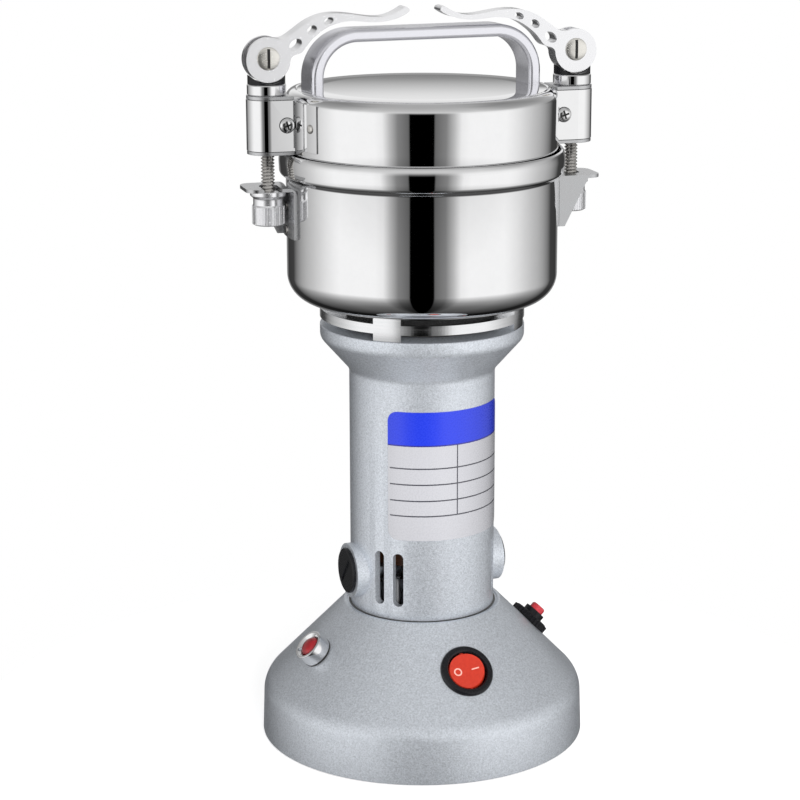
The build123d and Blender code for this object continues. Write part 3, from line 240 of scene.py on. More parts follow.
def addLamps():
    for name, spec in lamps.items():
        light = bpy.data.lights.new(name, "AREA")
        light.shape = "DISK"
        light.size = spec["size"] * mm
        light.energy = spec["watts"]
        hangLamp(light, spec["place"], lampAim)
    # a narrow lamp for the column alone
    light = bpy.data.lights.new("column", "SPOT")
    light.energy = columnLamp["watts"]
    light.spot_size = math.radians(columnLamp["cone"])
    light.spot_blend = columnLamp["blend"]
    light.shadow_soft_size = columnLamp["size"] / 2 * mm
    hangLamp(light, columnLamp["place"], columnLamp["aim"])


bpy.context.scene.view_settings.view_transform = "Standard"
addCamera()
addStudio()
addFloor()
addLamps()
print("camera, studio and floor made")


# Shader groups

def newGroup(name, scale, detail):
    # a pattern with Vector, Scale and Detail as inputs and Mask as output
    group = bpy.data.node_groups.new(name, "ShaderNodeTree")
    group.interface.new_socket(name="Vector", in_out="INPUT", socket_type="NodeSocketVector")
    for socketName, value in (("Scale", scale), ("Detail", detail)):
        socket = group.interface.new_socket(name=socketName, in_out="INPUT", socket_type="NodeSocketFloat")
        socket.default_value = value
    group.interface.new_socket(name="Mask", in_out="OUTPUT", socket_type="NodeSocketFloat")
    return group, addNode(group, "NodeGroupInput"), addNode(group, "NodeGroupOutput")


def drawTexture(group, given, kind, vector):
    return addNode(group, kind, {
        "Vector": vector, "Scale": given.outputs["Scale"], "Detail": given.outputs["Detail"]})


def grainGroup():
    # cloudy grain between 0 and 1
    group, given, made = newGroup("grain", 1000.0, 2.0)
    noise = drawTexture(group, given, "ShaderNodeTexNoise", given.outputs["Vector"])
    spread = addNode(group, "ShaderNodeMapRange", {0: noise.outputs["Fac"], 1: 0.28, 2: 0.72})
    group.links.new(spread.outputs[0], made.inputs["Mask"])
    return group


def turningGroup():
    # fine lines round the vertical axis, as a lathe or a polishing mop leaves them
    group, given, made = newGroup("turningLines", 1000.0, 3.0)
    drawn = addNode(group, "ShaderNodeVectorMath", {0: given.outputs["Vector"], 1: (0.03, 0.03, 1.0)},
                    operation="MULTIPLY")
    noise = drawTexture(group, given, "ShaderNodeTexNoise", drawn.outputs[0])
    spread = addNode(group, "ShaderNodeMapRange", {0: noise.outputs["Fac"], 1: 0.3, 2: 0.7})
    group.links.new(spread.outputs[0], made.inputs["Mask"])
    return group


def flakeGroup():
    # metal flakes: each cell has one random value
    group, given, made = newGroup("flakes", 2000.0, 0.0)
    cells = drawTexture(group, given, "ShaderNodeTexVoronoi", given.outputs["Vector"])
    value = addNode(group, "ShaderNodeSeparateColor", {0: cells.outputs["Color"]})
    group.links.new(value.outputs[0], made.inputs["Mask"])
    return group


groups = {"grain": grainGroup(), "turningLines": turningGroup(), "flakes": flakeGroup()}


# Materials

def newMaterial(name, shaderValues):
    material = bpy.data.materials.new(name)
    material.use_nodes = True
    shader = material.node_tree.nodes["Principled BSDF"]
    for socket, value in shaderValues.items():
        shader.inputs[socket].default_value = value
    return material, material.node_tree, shader


def patternMask(tree, pattern, scale, detail=2.0):
    place = addNode(tree, "ShaderNodeTexCoord").outputs["Object"]
    return addNode(tree, "ShaderNodeGroup", {"Vector": place, "Scale": scale, "Detail": detail},
                   node_tree=groups[pattern]).outputs["Mask"]


def finishSurface(tree, shader, mask, dark, light, roughness, bump):
    # colour, gloss and relief all follow one mask
    tree.links.new(mixColours(tree, mask, dark, light), shader.inputs["Base Color"])
    rough = addNode(tree, "ShaderNodeMapRange", {0: mask, 3: roughness[0], 4: roughness[1]})
    tree.links.new(rough.outputs[0], shader.inputs["Roughness"])
    relief = addNode(tree, "ShaderNodeBump", {"Height": mask, "Distance": bump * mm})
    tree.links.new(relief.outputs[0], shader.inputs["Normal"])


plainFinishes = {
    "polished_steel": {
        "pattern": "grain", "scale": 260.0, "dark": (0.885, 0.885, 0.89), "light": (0.90, 0.90, 0.905),
        "roughness": (0.028, 0.036), "bump": 0.00004, "shader": {"Metallic": 1.0}},
    "bright_steel": {
        "pattern": "turningLines", "scale": 1400.0, "dark": (0.62, 0.60, 0.57), "light": (0.74, 0.72, 0.69),
        "roughness": (0.14, 0.24), "bump": 0.002, "shader": {"Metallic": 1.0}},
    "pin_steel": {
        "pattern": "turningLines", "scale": 1400.0, "dark": (0.80, 0.78, 0.73), "light": (0.88, 0.86, 0.81),
        "roughness": (0.20, 0.30), "bump": 0.001, "shader": {"Metallic": 0.9}},
    "zinc_plate": {
        "pattern": "grain", "scale": 500.0, "dark": (0.56, 0.57, 0.58), "light": (0.68, 0.68, 0.69),
        "roughness": (0.24, 0.36), "bump": 0.004, "shader": {"Metallic": 1.0}},
    "cast_silver": {
        "pattern": "grain", "scale": 700.0, "dark": (0.93, 0.93, 0.95), "light": (0.96, 0.96, 0.975),
        "roughness": (0.18, 0.22), "bump": 0.0006, "shader": {"Metallic": 0.88}},
    "bare_aluminium": {
        "pattern": "turningLines", "scale": 1200.0, "dark": (0.86, 0.87, 0.88), "light": (0.93, 0.93, 0.94),
        "roughness": (0.12, 0.22), "bump": 0.002, "shader": {"Metallic": 1.0}},
    "blade_steel": {
        "pattern": "turningLines", "scale": 1500.0, "dark": (0.58, 0.59, 0.61), "light": (0.70, 0.71, 0.73),
        "roughness": (0.16, 0.30), "bump": 0.003, "shader": {"Metallic": 1.0}},
    "electrical_steel": {
        "pattern": "turningLines", "scale": 2200.0, "dark": (0.22, 0.23, 0.25), "light": (0.38, 0.39, 0.41),
        "roughness": (0.30, 0.50), "bump": 0.02, "shader": {"Metallic": 1.0}},
    # copper darkened far below its own colour: painted shade for the motor seen through the vents
    "copper": {
        "pattern": "turningLines", "scale": 1600.0, "dark": (0.022, 0.010, 0.006),
        "light": (0.055, 0.023, 0.013), "roughness": (0.30, 0.45), "bump": 0.05, "shader": {"Metallic": 0.5}},
    "handle_paint": {
        "pattern": "grain", "scale": 500.0, "dark": (0.84, 0.84, 0.89), "light": (0.87, 0.87, 0.92),
        "roughness": (0.22, 0.26), "bump": 0.0004, "shader": {"Metallic": 0.90}},
    "black_plastic": {
        "pattern": "grain", "scale": 1500.0, "dark": (0.004, 0.004, 0.005), "light": (0.009, 0.009, 0.011),
        "roughness": (0.20, 0.30), "bump": 0.002, "shader": {"Specular IOR Level": 0.32}},
    "red_rocker": {
        "pattern": "grain", "scale": 900.0, "dark": (0.44, 0.026, 0.011), "light": (0.50, 0.033, 0.014),
        "roughness": (0.18, 0.26), "bump": 0.001, "shader": {"Coat Weight": 0.2}},
    "reset_red": {
        "pattern": "grain", "scale": 900.0, "dark": (0.42, 0.030, 0.040), "light": (0.50, 0.042, 0.055),
        "roughness": (0.22, 0.32), "bump": 0.003, "shader": {"Coat Weight": 0.2}},
    "black_rubber": {
        "pattern": "grain", "scale": 700.0, "dark": (0.010, 0.010, 0.010), "light": (0.024, 0.024, 0.024),
        "roughness": (0.55, 0.75), "bump": 0.02, "shader": {"Sheen Weight": 0.15}},
    "clear_silicone": {
        "pattern": "grain", "scale": 600.0, "dark": (0.62, 0.62, 0.60), "light": (0.74, 0.74, 0.72),
        "roughness": (0.35, 0.5), "bump": 0.004, "shader": {"Subsurface Weight": 0.1}},
    "carbon": {
        "pattern": "grain", "scale": 1200.0, "dark": (0.03, 0.03, 0.032), "light": (0.07, 0.07, 0.072),
        "roughness": (0.5, 0.7), "bump": 0.01, "shader": {"Metallic": 0.2}},
    "cream_plastic": {
        "pattern": "grain", "scale": 800.0, "dark": (0.66, 0.62, 0.50), "light": (0.76, 0.73, 0.62),
        "roughness": (0.4, 0.55), "bump": 0.006, "shader": {"Subsurface Weight": 0.05}},
    "red_lens": {
        "pattern": "grain", "scale": 500.0, "dark": (0.30, 0.004, 0.010), "light": (0.46, 0.010, 0.018),
        "roughness": (0.08, 0.14), "bump": 0.001,
        "shader": {"Transmission Weight": 0.2, "IOR": 1.49, "Coat Weight": 0.5}},
    # the marks printed on the rocker
    "pale_print": {
        "pattern": "grain", "scale": 1500.0, "dark": (0.78, 0.42, 0.36), "light": (0.84, 0.48, 0.42),
        "roughness": (0.3, 0.4), "bump": 0.001, "shader": {"Coat Weight": 0.2}},
}


def plainMaterial(name):
    spec = plainFinishes[name]
    material, tree, shader = newMaterial(name, spec["shader"])
    mask = patternMask(tree, spec["pattern"], spec["scale"])
    finishSurface(tree, shader, mask, spec["dark"], spec["light"], spec["roughness"], spec["bump"])
    return material


silverPaint = {
    "sandScale": 1250.0, "sandDetail": 3.0, "sandShare": 0.45, "flakeScale": 2300.0, "flakeShare": 0.55,
    "dark": (0.50, 0.53, 0.57), "light": (0.845, 0.885, 0.945), "roughness": (0.32, 0.46), "bump": 0.055,
    "metallic": 0.70,
}


def silverPaintMaterial():
    # silver paint over a fine sandy texture, with flakes that catch the light
    material, tree, shader = newMaterial("silver_paint", {"Metallic": silverPaint["metallic"]})
    sand = patternMask(tree, "grain", silverPaint["sandScale"], silverPaint["sandDetail"])
    flakes = patternMask(tree, "flakes", silverPaint["flakeScale"], 0.0)
    both = mathNode(tree, "ADD", mathNode(tree, "MULTIPLY", sand, silverPaint["sandShare"]),
                    mathNode(tree, "MULTIPLY", flakes, silverPaint["flakeShare"]))
    finishSurface(tree, shader, both, silverPaint["dark"], silverPaint["light"], silverPaint["roughness"],
                  silverPaint["bump"])
    return material


labelPrint = {          # heights are in the frame, and angles are degrees from the front
    "header": (0.013, 0.030, 0.43), "headerFoot": 144.6, "headerLine": (0.02, 0.02, 0.16),
    "sheet": (0.34, 0.34, 0.36), "line": (0.045, 0.045, 0.055), "lines": (134.1, 126.7, 119.2, 112.1),
    "lineWidth": 0.62, "divider": 6.3, "dividerWidth": 1.0, "tableSides": (-47.5, 64.0),
    "grainScale": 1300.0, "roughness": (0.22, 0.34), "coat": 0.25,
}


def labelMaterial():
    # a blue heading over a blank ruled table
    material, tree, shader = newMaterial("label_print", {"Coat Weight": labelPrint["coat"]})
    place = addNode(tree, "ShaderNodeSeparateXYZ", {0: addNode(tree, "ShaderNodeTexCoord").outputs["Object"]})
    height = mathNode(tree, "DIVIDE", place.outputs["Z"], mm)
    back = mathNode(tree, "MULTIPLY", place.outputs["Y"], -1.0)
    turn = mathNode(tree, "DEGREES", mathNode(tree, "ARCTAN2", place.outputs["X"], back))
    headerFoot, tableFoot = labelPrint["headerFoot"], labelPrint["lines"][-1]
    lineWidth = labelPrint["lineWidth"]
    low, high = labelPrint["tableSides"]

    def strip(value, middle, width):
        away = mathNode(tree, "ABSOLUTE", mathNode(tree, "SUBTRACT", value, middle))
        return mathNode(tree, "LESS_THAN", away, width / 2)

    ruled = 0.0
    for level in labelPrint["lines"]:
        ruled = mathNode(tree, "MAXIMUM", ruled, strip(height, level, lineWidth))
    ruled = mathNode(tree, "MULTIPLY", ruled, strip(turn, (low + high) / 2, high - low))
    upright = mathNode(tree, "MULTIPLY", strip(height, (headerFoot + tableFoot) / 2, headerFoot - tableFoot),
                       strip(turn, labelPrint["divider"], labelPrint["dividerWidth"]))
    ruled = mathNode(tree, "MAXIMUM", ruled, upright)
    printed = mixColours(tree, ruled, labelPrint["sheet"], labelPrint["line"])
    heading = mathNode(tree, "GREATER_THAN", height, headerFoot)
    printed = mixColours(tree, heading, printed, labelPrint["header"])
    underline = strip(height, headerFoot, lineWidth)
    printed = mixColours(tree, underline, printed, labelPrint["headerLine"])
    tree.links.new(printed, shader.inputs["Base Color"])
    mask = patternMask(tree, "grain", labelPrint["grainScale"])
    smooth, rough = labelPrint["roughness"]
    gloss = addNode(tree, "ShaderNodeMapRange", {0: mask, 3: smooth, 4: rough})
    tree.links.new(gloss.outputs[0], shader.inputs["Roughness"])
    return material


materials = {name: plainMaterial(name) for name in plainFinishes}
materials["silver_paint"] = silverPaintMaterial()
materials["label_print"] = labelMaterial()
for node, shown in frame["nodes"].items():
    shown.data.materials.clear()
    shown.data.materials.append(materials[slotOf[node]])
print("materials made:", len(materials))


# Making pieces

turnSteps = 192         # faces round a large turned piece
finestSteps = 256       # round the base, the bowl and the lid
fittingSteps = 96       # round the fittings of the base
smallSteps = 48         # round screws and other small pieces
sharpAngle = 35.0       # degrees, past which an edge is shown sharp


def easeCorners(bm, corners):
    # rounds a wire's corners; the second number is how far back from the corner the round starts
    for vert, ease in corners:
        if ease:
            bmesh.ops.bevel(bm, geom=[vert], offset=ease, offset_type="OFFSET", segments=3 + int(ease),
                            profile=0.5, affect="VERTICES", material=-1)


def turned(points, closed=True, steps=turnSteps):
    # points are (radius, height) or (radius, height, ease)
    bm = bmesh.new()
    verts = [bm.verts.new((point[0], 0, point[1])) for point in points]
    ends = verts[1:] + verts[:1] if closed else verts[1:]
    for one, two in zip(verts, ends):
        bm.edges.new((one, two))
    easeCorners(bm, [(vert, point[2] if len(point) > 2 else 0) for vert, point in zip(verts, points)])
    bmesh.ops.spin(bm, geom=bm.verts[:] + bm.edges[:], cent=(0, 0, 0), axis=(0, 0, 1), angle=math.tau,
                   steps=steps, use_merge=True)
    bmesh.ops.remove_doubles(bm, verts=bm.verts, dist=0.0001)
    bmesh.ops.recalc_face_normals(bm, faces=bm.faces)
    return bm


def cylinder(radius, low, high, steps=64):
    bm = bmesh.new()
    bmesh.ops.create_cone(bm, cap_ends=True, segments=steps, radius1=radius, radius2=radius, depth=high - low)
    bmesh.ops.translate(bm, vec=(0, 0, (low + high) / 2), verts=bm.verts)
    return bm


def moved(bm, matrix):
    bmesh.ops.transform(bm, matrix=matrix, verts=bm.verts)
    return bm


def joined(shapes):
    # one bmesh of several
    whole = bmesh.new()
    for shape in shapes:
        mesh = bpy.data.meshes.new("part")
        shape.to_mesh(mesh)
        shape.free()
        whole.from_mesh(mesh)
        bpy.data.meshes.remove(mesh)
    return whole


def toObject(bm, name):
    mesh = bpy.data.meshes.new(name)
    bm.to_mesh(mesh)
    bm.free()
    shown = bpy.data.objects.new(name, mesh)
    bpy.context.scene.collection.objects.link(shown)
    return shown


def combined(bm, tool, operation="DIFFERENCE"):
    # the shape without the tool, or with it
    body = toObject(bm, "body")
    cutter = toObject(tool, "cutter")
    change = body.modifiers.new("change", "BOOLEAN")
    change.operation = operation
    change.solver = "EXACT"
    change.object = cutter
    changed = body.evaluated_get(bpy.context.evaluated_depsgraph_get())
    mesh = bpy.data.meshes.new_from_object(changed)
    made = bmesh.new()
    made.from_mesh(mesh)
    for used in (body, cutter):
        old = used.data
        bpy.data.objects.remove(used)
        bpy.data.meshes.remove(old)
    bpy.data.meshes.remove(mesh)
    return made


def addPiece(bm, name, body, slot, replaced=(), sharp=sharpAngle, bevel=0.0, look=None):
    bmesh.ops.scale(bm, vec=(mm, mm, mm), verts=bm.verts)
    piece = toObject(bm, name)
    piece.data.materials.append(materials[look or slot])
    piece.data.shade_smooth()
    piece.data.set_sharp_from_angle(angle=math.radians(sharp))
    if bevel:
        ease = piece.modifiers.new("edges", "BEVEL")
        ease.width = bevel * mm
        ease.segments = 2
        ease.limit_method = "ANGLE"
        ease.angle_limit = math.radians(sharp)
        ease.use_clamp_overlap = True
        ease.harden_normals = True
    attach(piece, body)
    if replaced:
        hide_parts(*replaced)
    return piece


def raised(bm, face, height):
    # extrudes a face upwards
    grown = bmesh.ops.extrude_face_region(bm, geom=[face])
    risen = [item for item in grown["geom"] if isinstance(item, bmesh.types.BMVert)]
    bmesh.ops.translate(bm, vec=(0, 0, height), verts=risen)
    return bm


def plateRound(radius, thickness, low, high, start, stop, steps):
    # a thin plate that follows a cylinder, between two angles from the front
    bm = bmesh.new()
    corners = ((radius, low), (radius + thickness, low), (radius + thickness, high), (radius, high))
    bm.faces.new([bm.verts.new((0, -reach, level)) for reach, level in corners])
    bmesh.ops.rotate(bm, matrix=Matrix.Rotation(math.radians(start), 3, "Z"), verts=bm.verts)
    bmesh.ops.spin(bm, geom=bm.verts[:] + bm.edges[:] + bm.faces[:], cent=(0, 0, 0), axis=(0, 0, 1),
                   angle=math.radians(stop - start), steps=steps)
    bmesh.ops.recalc_face_normals(bm, faces=bm.faces)
    return bm


def cadCopy(node):
    # a node's solid as one merged mesh in millimetres
    bm = bmesh.new()
    bm.from_mesh(frame["nodes"][node].data)
    bmesh.ops.scale(bm, vec=(1 / mm, 1 / mm, 1 / mm), verts=bm.verts)
    bmesh.ops.remove_doubles(bm, verts=bm.verts, dist=0.002)
    bmesh.ops.dissolve_limit(bm, angle_limit=math.radians(0.6), verts=bm.verts, edges=bm.edges)
    return bm


# Base shell: side, shoulder, cone and the rim that the column stands in

baseShape = {
    "radius": 74.4, "rimLift": 1.0, "shoulder": (73.6, 24.4), "shoulderEase": 4.25, "wall": 2.5,
    "rimRadius": 36.2, "rimWidth": 1.4, "rimEase": 0.15, "ledgeDrop": 0.4, "ledgeBore": 22.0, "roof": 3.0,
    "coneWall": 1.4, "innerDrop": 1.0, "innerEase": 3.0, "edge": 0.45,
}
coneFittings = {        # angle from the front, distance from the axis, radius of the hole
    "switch": (0.0, 53.5, 10.45), "lamp": (-84.0, 53.8, 6.0), "breaker": (90.0, 54.0, 5.2),
}
fittingCut = (-12, 8)   # how far a hole's cutter goes below and above the cone
cordHole = {"radius": 5.1, "level": 12.6, "cut": (60, 80)}
coneRun = baseShape["shoulder"][0] - baseShape["rimRadius"]
coneRise = top("base_housing") - baseShape["shoulder"][1]
coneLength = math.hypot(coneRun, coneRise)


def conePlace(name):
    # stands a shape on the cone: X round the cone, Y up the slope, Z outward
    angle, distance = coneFittings[name][:2]
    turn = math.radians(angle)
    outward = Vector((math.sin(turn), -math.cos(turn), 0))
    up = outward * coneRise / coneLength + Vector((0, 0, coneRun / coneLength))
    along = Vector((math.cos(turn), math.sin(turn), 0))
    slope = up.cross(along)
    spot = outward * distance
    spot.z = baseShape["shoulder"][1] + (baseShape["shoulder"][0] - distance) * coneRise / coneRun
    return Matrix.Translation(spot) @ Matrix((along, slope, up)).transposed().to_4x4()


def addBase():
    radius, wall, edge, lift = (baseShape[key] for key in ("radius", "wall", "edge", "rimLift"))
    (sideRadius, sideTop), rim = baseShape["shoulder"], top("base_housing")
    ledge = rim - baseShape["ledgeDrop"]
    roof, bore = ledge - baseShape["roof"], baseShape["ledgeBore"]
    rimRadius = baseShape["rimRadius"]
    rimInside = rimRadius - baseShape["rimWidth"]
    roofRadius = sideRadius - (roof + wall * baseShape["coneWall"] - sideTop) * coneRun / coneRise
    bm = turned([
        (radius, lift, edge), (sideRadius, sideTop, baseShape["shoulderEase"]), (rimRadius, rim, edge),
        (rimInside, rim, baseShape["rimEase"]), (rimInside, ledge), (bore, ledge), (bore, roof),
        (roofRadius, roof), (sideRadius - wall, sideTop - baseShape["innerDrop"], baseShape["innerEase"]),
        (radius - wall, lift, edge)], steps=finestSteps)
    tools = [moved(cylinder(coneFittings[name][2], *fittingCut), conePlace(name)) for name in coneFittings]
    inlet = Matrix.Translation((0, 0, cordHole["level"])) @ Matrix.Rotation(-math.pi / 2, 4, "X")
    tools.append(moved(cylinder(cordHole["radius"], *cordHole["cut"]), inlet))
    bm = combined(bm, joined(tools))
    addPiece(bm, "base_shell", "stand", "silver_paint", ("base_housing",), bevel=0.25)


addBase()
print("base made")


# Motor column: flare, brush bosses and vents

columnShape = {
    "radius": 33.0, "wall": 2.0, "flareFoot": 173.5, "flareTop": 188.2, "collarRadius": 46.0, "bore": 25.0,
    "floor": 3.0, "flange": 3.0, "flangeBore": 26.0, "edge": 0.5, "flareEase": 1.6,
}
# a thin dark ring in the joint at the column's foot, as painted shade
columnFootShade = {"inner": 32.8, "outer": 33.9, "height": 0.25}
bossShape = {"angles": (90, -90), "radius": 12.5, "root": 3, "face": 36.2, "level": 80.5, "bore": 9.1,
             "cut": (20, 45)}
ventShape = {"angles": (-57.5, -41.0, 57.0, 122.5, 139.0, -122.5, -139.0), "width": 5.0, "length": 25.0,
             "middle": 81.5, "cut": (6, 4), "jamb": 29.4, "jambTop": 94.8, "jambSlope": 0.4}


def outAlong(angle, level):
    # turns a shape's Z to point outwards at this angle from the front
    turn = Matrix.Rotation(math.radians(angle), 4, "Z")
    return Matrix.Translation((0, 0, level)) @ turn @ Matrix.Rotation(math.pi / 2, 4, "X")


def slotTool(length, width, near, farther):
    # a bar with round ends, its length along Y
    bm = bmesh.new()
    bmesh.ops.create_cone(bm, cap_ends=True, segments=32, radius1=width / 2, radius2=width / 2,
                          depth=farther - near)
    bmesh.ops.translate(bm, vec=(0, 0, (near + farther) / 2), verts=bm.verts)
    for side in (1, -1):
        end = [vert for vert in bm.verts if vert.co.y * side > 0.001]
        bmesh.ops.translate(bm, vec=(0, side * (length - width) / 2, 0), verts=end)
    return bm


def addColumn():
    low, high = foot("motor_housing"), top("motor_housing")
    radius, wall, collar = columnShape["radius"], columnShape["wall"], columnShape["collarRadius"]
    edge, ease = columnShape["edge"], columnShape["flareEase"]
    flareFoot, flareTop = columnShape["flareFoot"], columnShape["flareTop"]
    bore, flangeBore, flange = columnShape["bore"], columnShape["flangeBore"], high - columnShape["flange"]
    inner, floorLevel = radius - wall, low + columnShape["floor"]
    jamb, jambTop = ventShape["jamb"], ventShape["jambTop"]
    bm = turned([
        (bore, low), (radius, low, edge), (radius, flareFoot, ease), (collar, flareTop, ease),
        (collar, high, edge), (flangeBore, high), (flangeBore, flange), (collar - wall, flange),
        (collar - wall, flareTop + 1), (inner, flareFoot + 1), (inner, jambTop + ventShape["jambSlope"]),
        (jamb, jambTop), (jamb, floorLevel), (bore, floorLevel)])
    places = [outAlong(angle, bossShape["level"]) for angle in bossShape["angles"]]
    root, face = inner - bossShape["root"], bossShape["face"]
    bosses = [moved(cylinder(bossShape["radius"], root, face, fittingSteps), place) for place in places]
    bm = combined(bm, joined(bosses), "UNION")
    bores = [moved(cylinder(bossShape["bore"], *bossShape["cut"]), place) for place in places]
    bm = combined(bm, joined(bores))
    near, farther = inner - ventShape["cut"][0], radius + ventShape["cut"][1]
    vents = [moved(slotTool(ventShape["length"], ventShape["width"], near, farther),
                   outAlong(angle, ventShape["middle"])) for angle in ventShape["angles"]]
    bm = combined(bm, joined(vents))
    addPiece(bm, "motor_column", "stand", "silver_paint", ("motor_housing",), bevel=0.4)


def addColumnFootShade():
    # a dark ring where the column stands in the base: painted shade for the dark line in that joint
    low = foot("motor_housing")
    inner, outer, high = columnFootShade["inner"], columnFootShade["outer"], low + columnFootShade["height"]
    bm = turned([(inner, low), (outer, low), (outer, high, 0.1), (inner, high)])
    addPiece(bm, "column_foot_shade", "stand", "black_rubber")


addColumn()
addColumnFootShade()
print("column made")


# Spacer ring with its windows

spacerShape = {"radius": 46.0, "bore": 34.5, "window": 3.4, "posts": 4, "post": 16.0, "firstPost": -131.5,
               "edge": 0.35, "cut": (4, 2), "steps": 40}
# a black ring behind the windows: painted shade that keeps them dark
windowShadeShape = {"gap": 0.3, "thickness": 1, "inset": 0.2}


def windowTool(reach, height, middle, level, start, sweep):
    # a rectangle swept round the axis from one post to the next
    bm = bmesh.new()
    bmesh.ops.create_grid(bm, x_segments=1, y_segments=1, size=0.5)
    bmesh.ops.scale(bm, vec=(reach, height, 1), verts=bm.verts)
    bmesh.ops.rotate(bm, matrix=Matrix.Rotation(math.pi / 2, 3, "X"), verts=bm.verts)
    bmesh.ops.translate(bm, vec=(middle, 0, level), verts=bm.verts)
    bmesh.ops.rotate(bm, matrix=Matrix.Rotation(math.radians(start), 3, "Z"), verts=bm.verts)
    bmesh.ops.spin(bm, geom=bm.verts[:] + bm.edges[:] + bm.faces[:], cent=(0, 0, 0), axis=(0, 0, 1),
                   angle=math.radians(sweep), steps=spacerShape["steps"])
    bmesh.ops.recalc_face_normals(bm, faces=bm.faces)
    return bm


def addSpacer():
    low, high = foot("vent_spacer"), top("vent_spacer")
    edge, radius, bore = spacerShape["edge"], spacerShape["radius"], spacerShape["bore"]
    bm = turned([(bore, low, edge), (radius, low, edge), (radius, high, edge), (bore, high, edge)])
    across, past = spacerShape["cut"]
    window, post, quarter = spacerShape["window"], spacerShape["post"], 360 / spacerShape["posts"]
    reach, middle = radius - bore + across, (radius + bore) / 2
    tools = []
    for sill, roof in ((low - past, low + window), (high - window, high + past)):
        for step in range(spacerShape["posts"]):
            start = spacerShape["firstPost"] + post / 2 + quarter * step
            tools.append(windowTool(reach, roof - sill, middle, (roof + sill) / 2, start, quarter - post))
    bm = combined(bm, joined(tools))
    addPiece(bm, "spacer_ring", "stand", "bare_aluminium", ("vent_spacer",), bevel=0.2)
    # painted shade: a black ring just inside the bore, seen through the windows
    outer = bore - windowShadeShape["gap"]
    inner = outer - windowShadeShape["thickness"]
    windowShadeFoot, windowShadeTop = low + windowShadeShape["inset"], high - windowShadeShape["inset"]
    windowShade = turned([(inner, windowShadeFoot), (outer, windowShadeFoot), (outer, windowShadeTop), (inner, windowShadeTop)])
    addPiece(windowShade, "spacer_window_shade", "stand", "black_rubber")


addSpacer()


# Bowl: pressed steel with a rolled collar

bowlShape = {
    "radius": 60.4, "wall": 1.2, "corner": 12.2, "bore": 9.05, "side": 55.6, "sideEase": 0.5, "lip": 62.5,
    "lipWidth": 1.1, "lipEase": 0.4, "seat": 60.6, "seatEase": 0.3,
    "collar": ((63.3, 57.6, 1.0), (63.6, 64.9, 2.2)),       # radius, height over the bowl's foot and ease
}


def addBowl():
    low, lipTop = foot("bowl"), top("bowl")
    radius, wall, corner, lip = (bowlShape[key] for key in ("radius", "wall", "corner", "lip"))
    bore, lipEase, seatEase = bowlShape["bore"], bowlShape["lipEase"], bowlShape["seatEase"]
    inside, lipInside = radius - wall, lip - bowlShape["lipWidth"]
    seat = low + bowlShape["seat"]
    collar = [(reach, low + height, ease) for reach, height, ease in bowlShape["collar"]]
    bm = turned([
        (bore, low), (radius, low, corner), (radius, low + bowlShape["side"], bowlShape["sideEase"]), *collar,
        (lip, lipTop, lipEase), (lipInside, lipTop, lipEase), (lipInside, seat, seatEase),
        (inside, seat, seatEase), (inside, low + wall, corner - wall), (bore, low + wall)], steps=finestSteps)
    addPiece(bm, "bowl_shell", "stand", "polished_steel", ("bowl",))


addBowl()


# Lid: its wall, rounded shoulder, crease and slightly domed top

lidShape = {
    "radius": 60.4, "wall": 1.2, "round": 5.0, "footEase": 0.4, "crease": 55.4, "creaseWidth": 1.0,
    "creaseDepth": 0.45, "creaseEase": 0.15, "dome": 0.25, "domeShares": (0.8, 0.6, 0.4, 0.2),
}


def addLid():
    low, high = foot("lid_shell"), top("lid_shell")
    radius, wall, shoulder, crease = (lidShape[key] for key in ("radius", "wall", "round", "crease"))
    half, dome, ease = lidShape["creaseWidth"] / 2, lidShape["dome"], lidShape["creaseEase"]
    rise = [(crease * share, high + dome * (1 - share * share)) for share in lidShape["domeShares"]]
    bm = turned([
        (0, high - wall), (radius - wall, high - wall, shoulder - wall), (radius - wall, low, 0.2),
        (radius, low, lidShape["footEase"]), (radius, high, shoulder), (crease + half, high, ease),
        (crease, high - lidShape["creaseDepth"], ease), (crease - half, high, ease), *rise, (0, high + dome)],
        closed=False, steps=finestSteps)
    addPiece(bm, "lid_cover", "lid", "polished_steel", ("lid_shell",))


addLid()
print("bowl and lid made")


# Label: a thin bent plate with rounded corners

labelShape = {"radius": 33.02, "thickness": 0.28, "corner": 4.6, "angles": (-49.2, 62.8), "steps": 90}
cornerCut = {"from": 28.0, "depth": 12.0, "spare": 1.0, "steps": 8}


def cornerTool(size):
    # what a rounded corner leaves over, as a prism along Z with the corner at the origin
    bm = bmesh.new()
    steps, spare = cornerCut["steps"], cornerCut["spare"]
    turns = [math.radians(90 + 90 * step / steps) for step in range(steps + 1)]
    outline = [(size + size * math.cos(turn), -size + size * math.sin(turn)) for turn in turns]
    outline = [(-spare, spare), (size, spare)] + outline + [(-spare, -size)]
    face = bm.faces.new([bm.verts.new((x, y, cornerCut["from"])) for x, y in outline])
    return raised(bm, face, cornerCut["depth"])


def addLabel():
    low, high = foot("name_label"), top("name_label")
    start, stop = labelShape["angles"]
    radius, thickness, steps = labelShape["radius"], labelShape["thickness"], labelShape["steps"]
    bm = plateRound(radius, thickness, low, high, start, stop, steps)
    tools = []
    for angle, across in ((start, 1), (stop, -1)):
        for level, upward in ((high, 1), (low, -1)):
            place = outAlong(angle, level) @ Matrix.Diagonal((across, upward, 1, 1))
            tool = moved(cornerTool(labelShape["corner"]), place)
            bmesh.ops.recalc_face_normals(tool, faces=tool.faces)
            tools.append(tool)
    bm = combined(bm, joined(tools))
    label = addPiece(bm, "label_plate", "stand", "label_print", ("name_label",))
    label.visible_glossy = False    # keeps its colours out of the bowl


addLabel()


# Shapes that more than one piece uses

def rounded(node, name, body, slot, width, sharp=sharpAngle):
    # a node's own shape with its edges eased
    piece = addPiece(cadCopy(node), name, body, slot, (node,), sharp=sharp, bevel=width)
    piece.modifiers.new("normals", "WEIGHTED_NORMAL").keep_sharp = True
    return piece


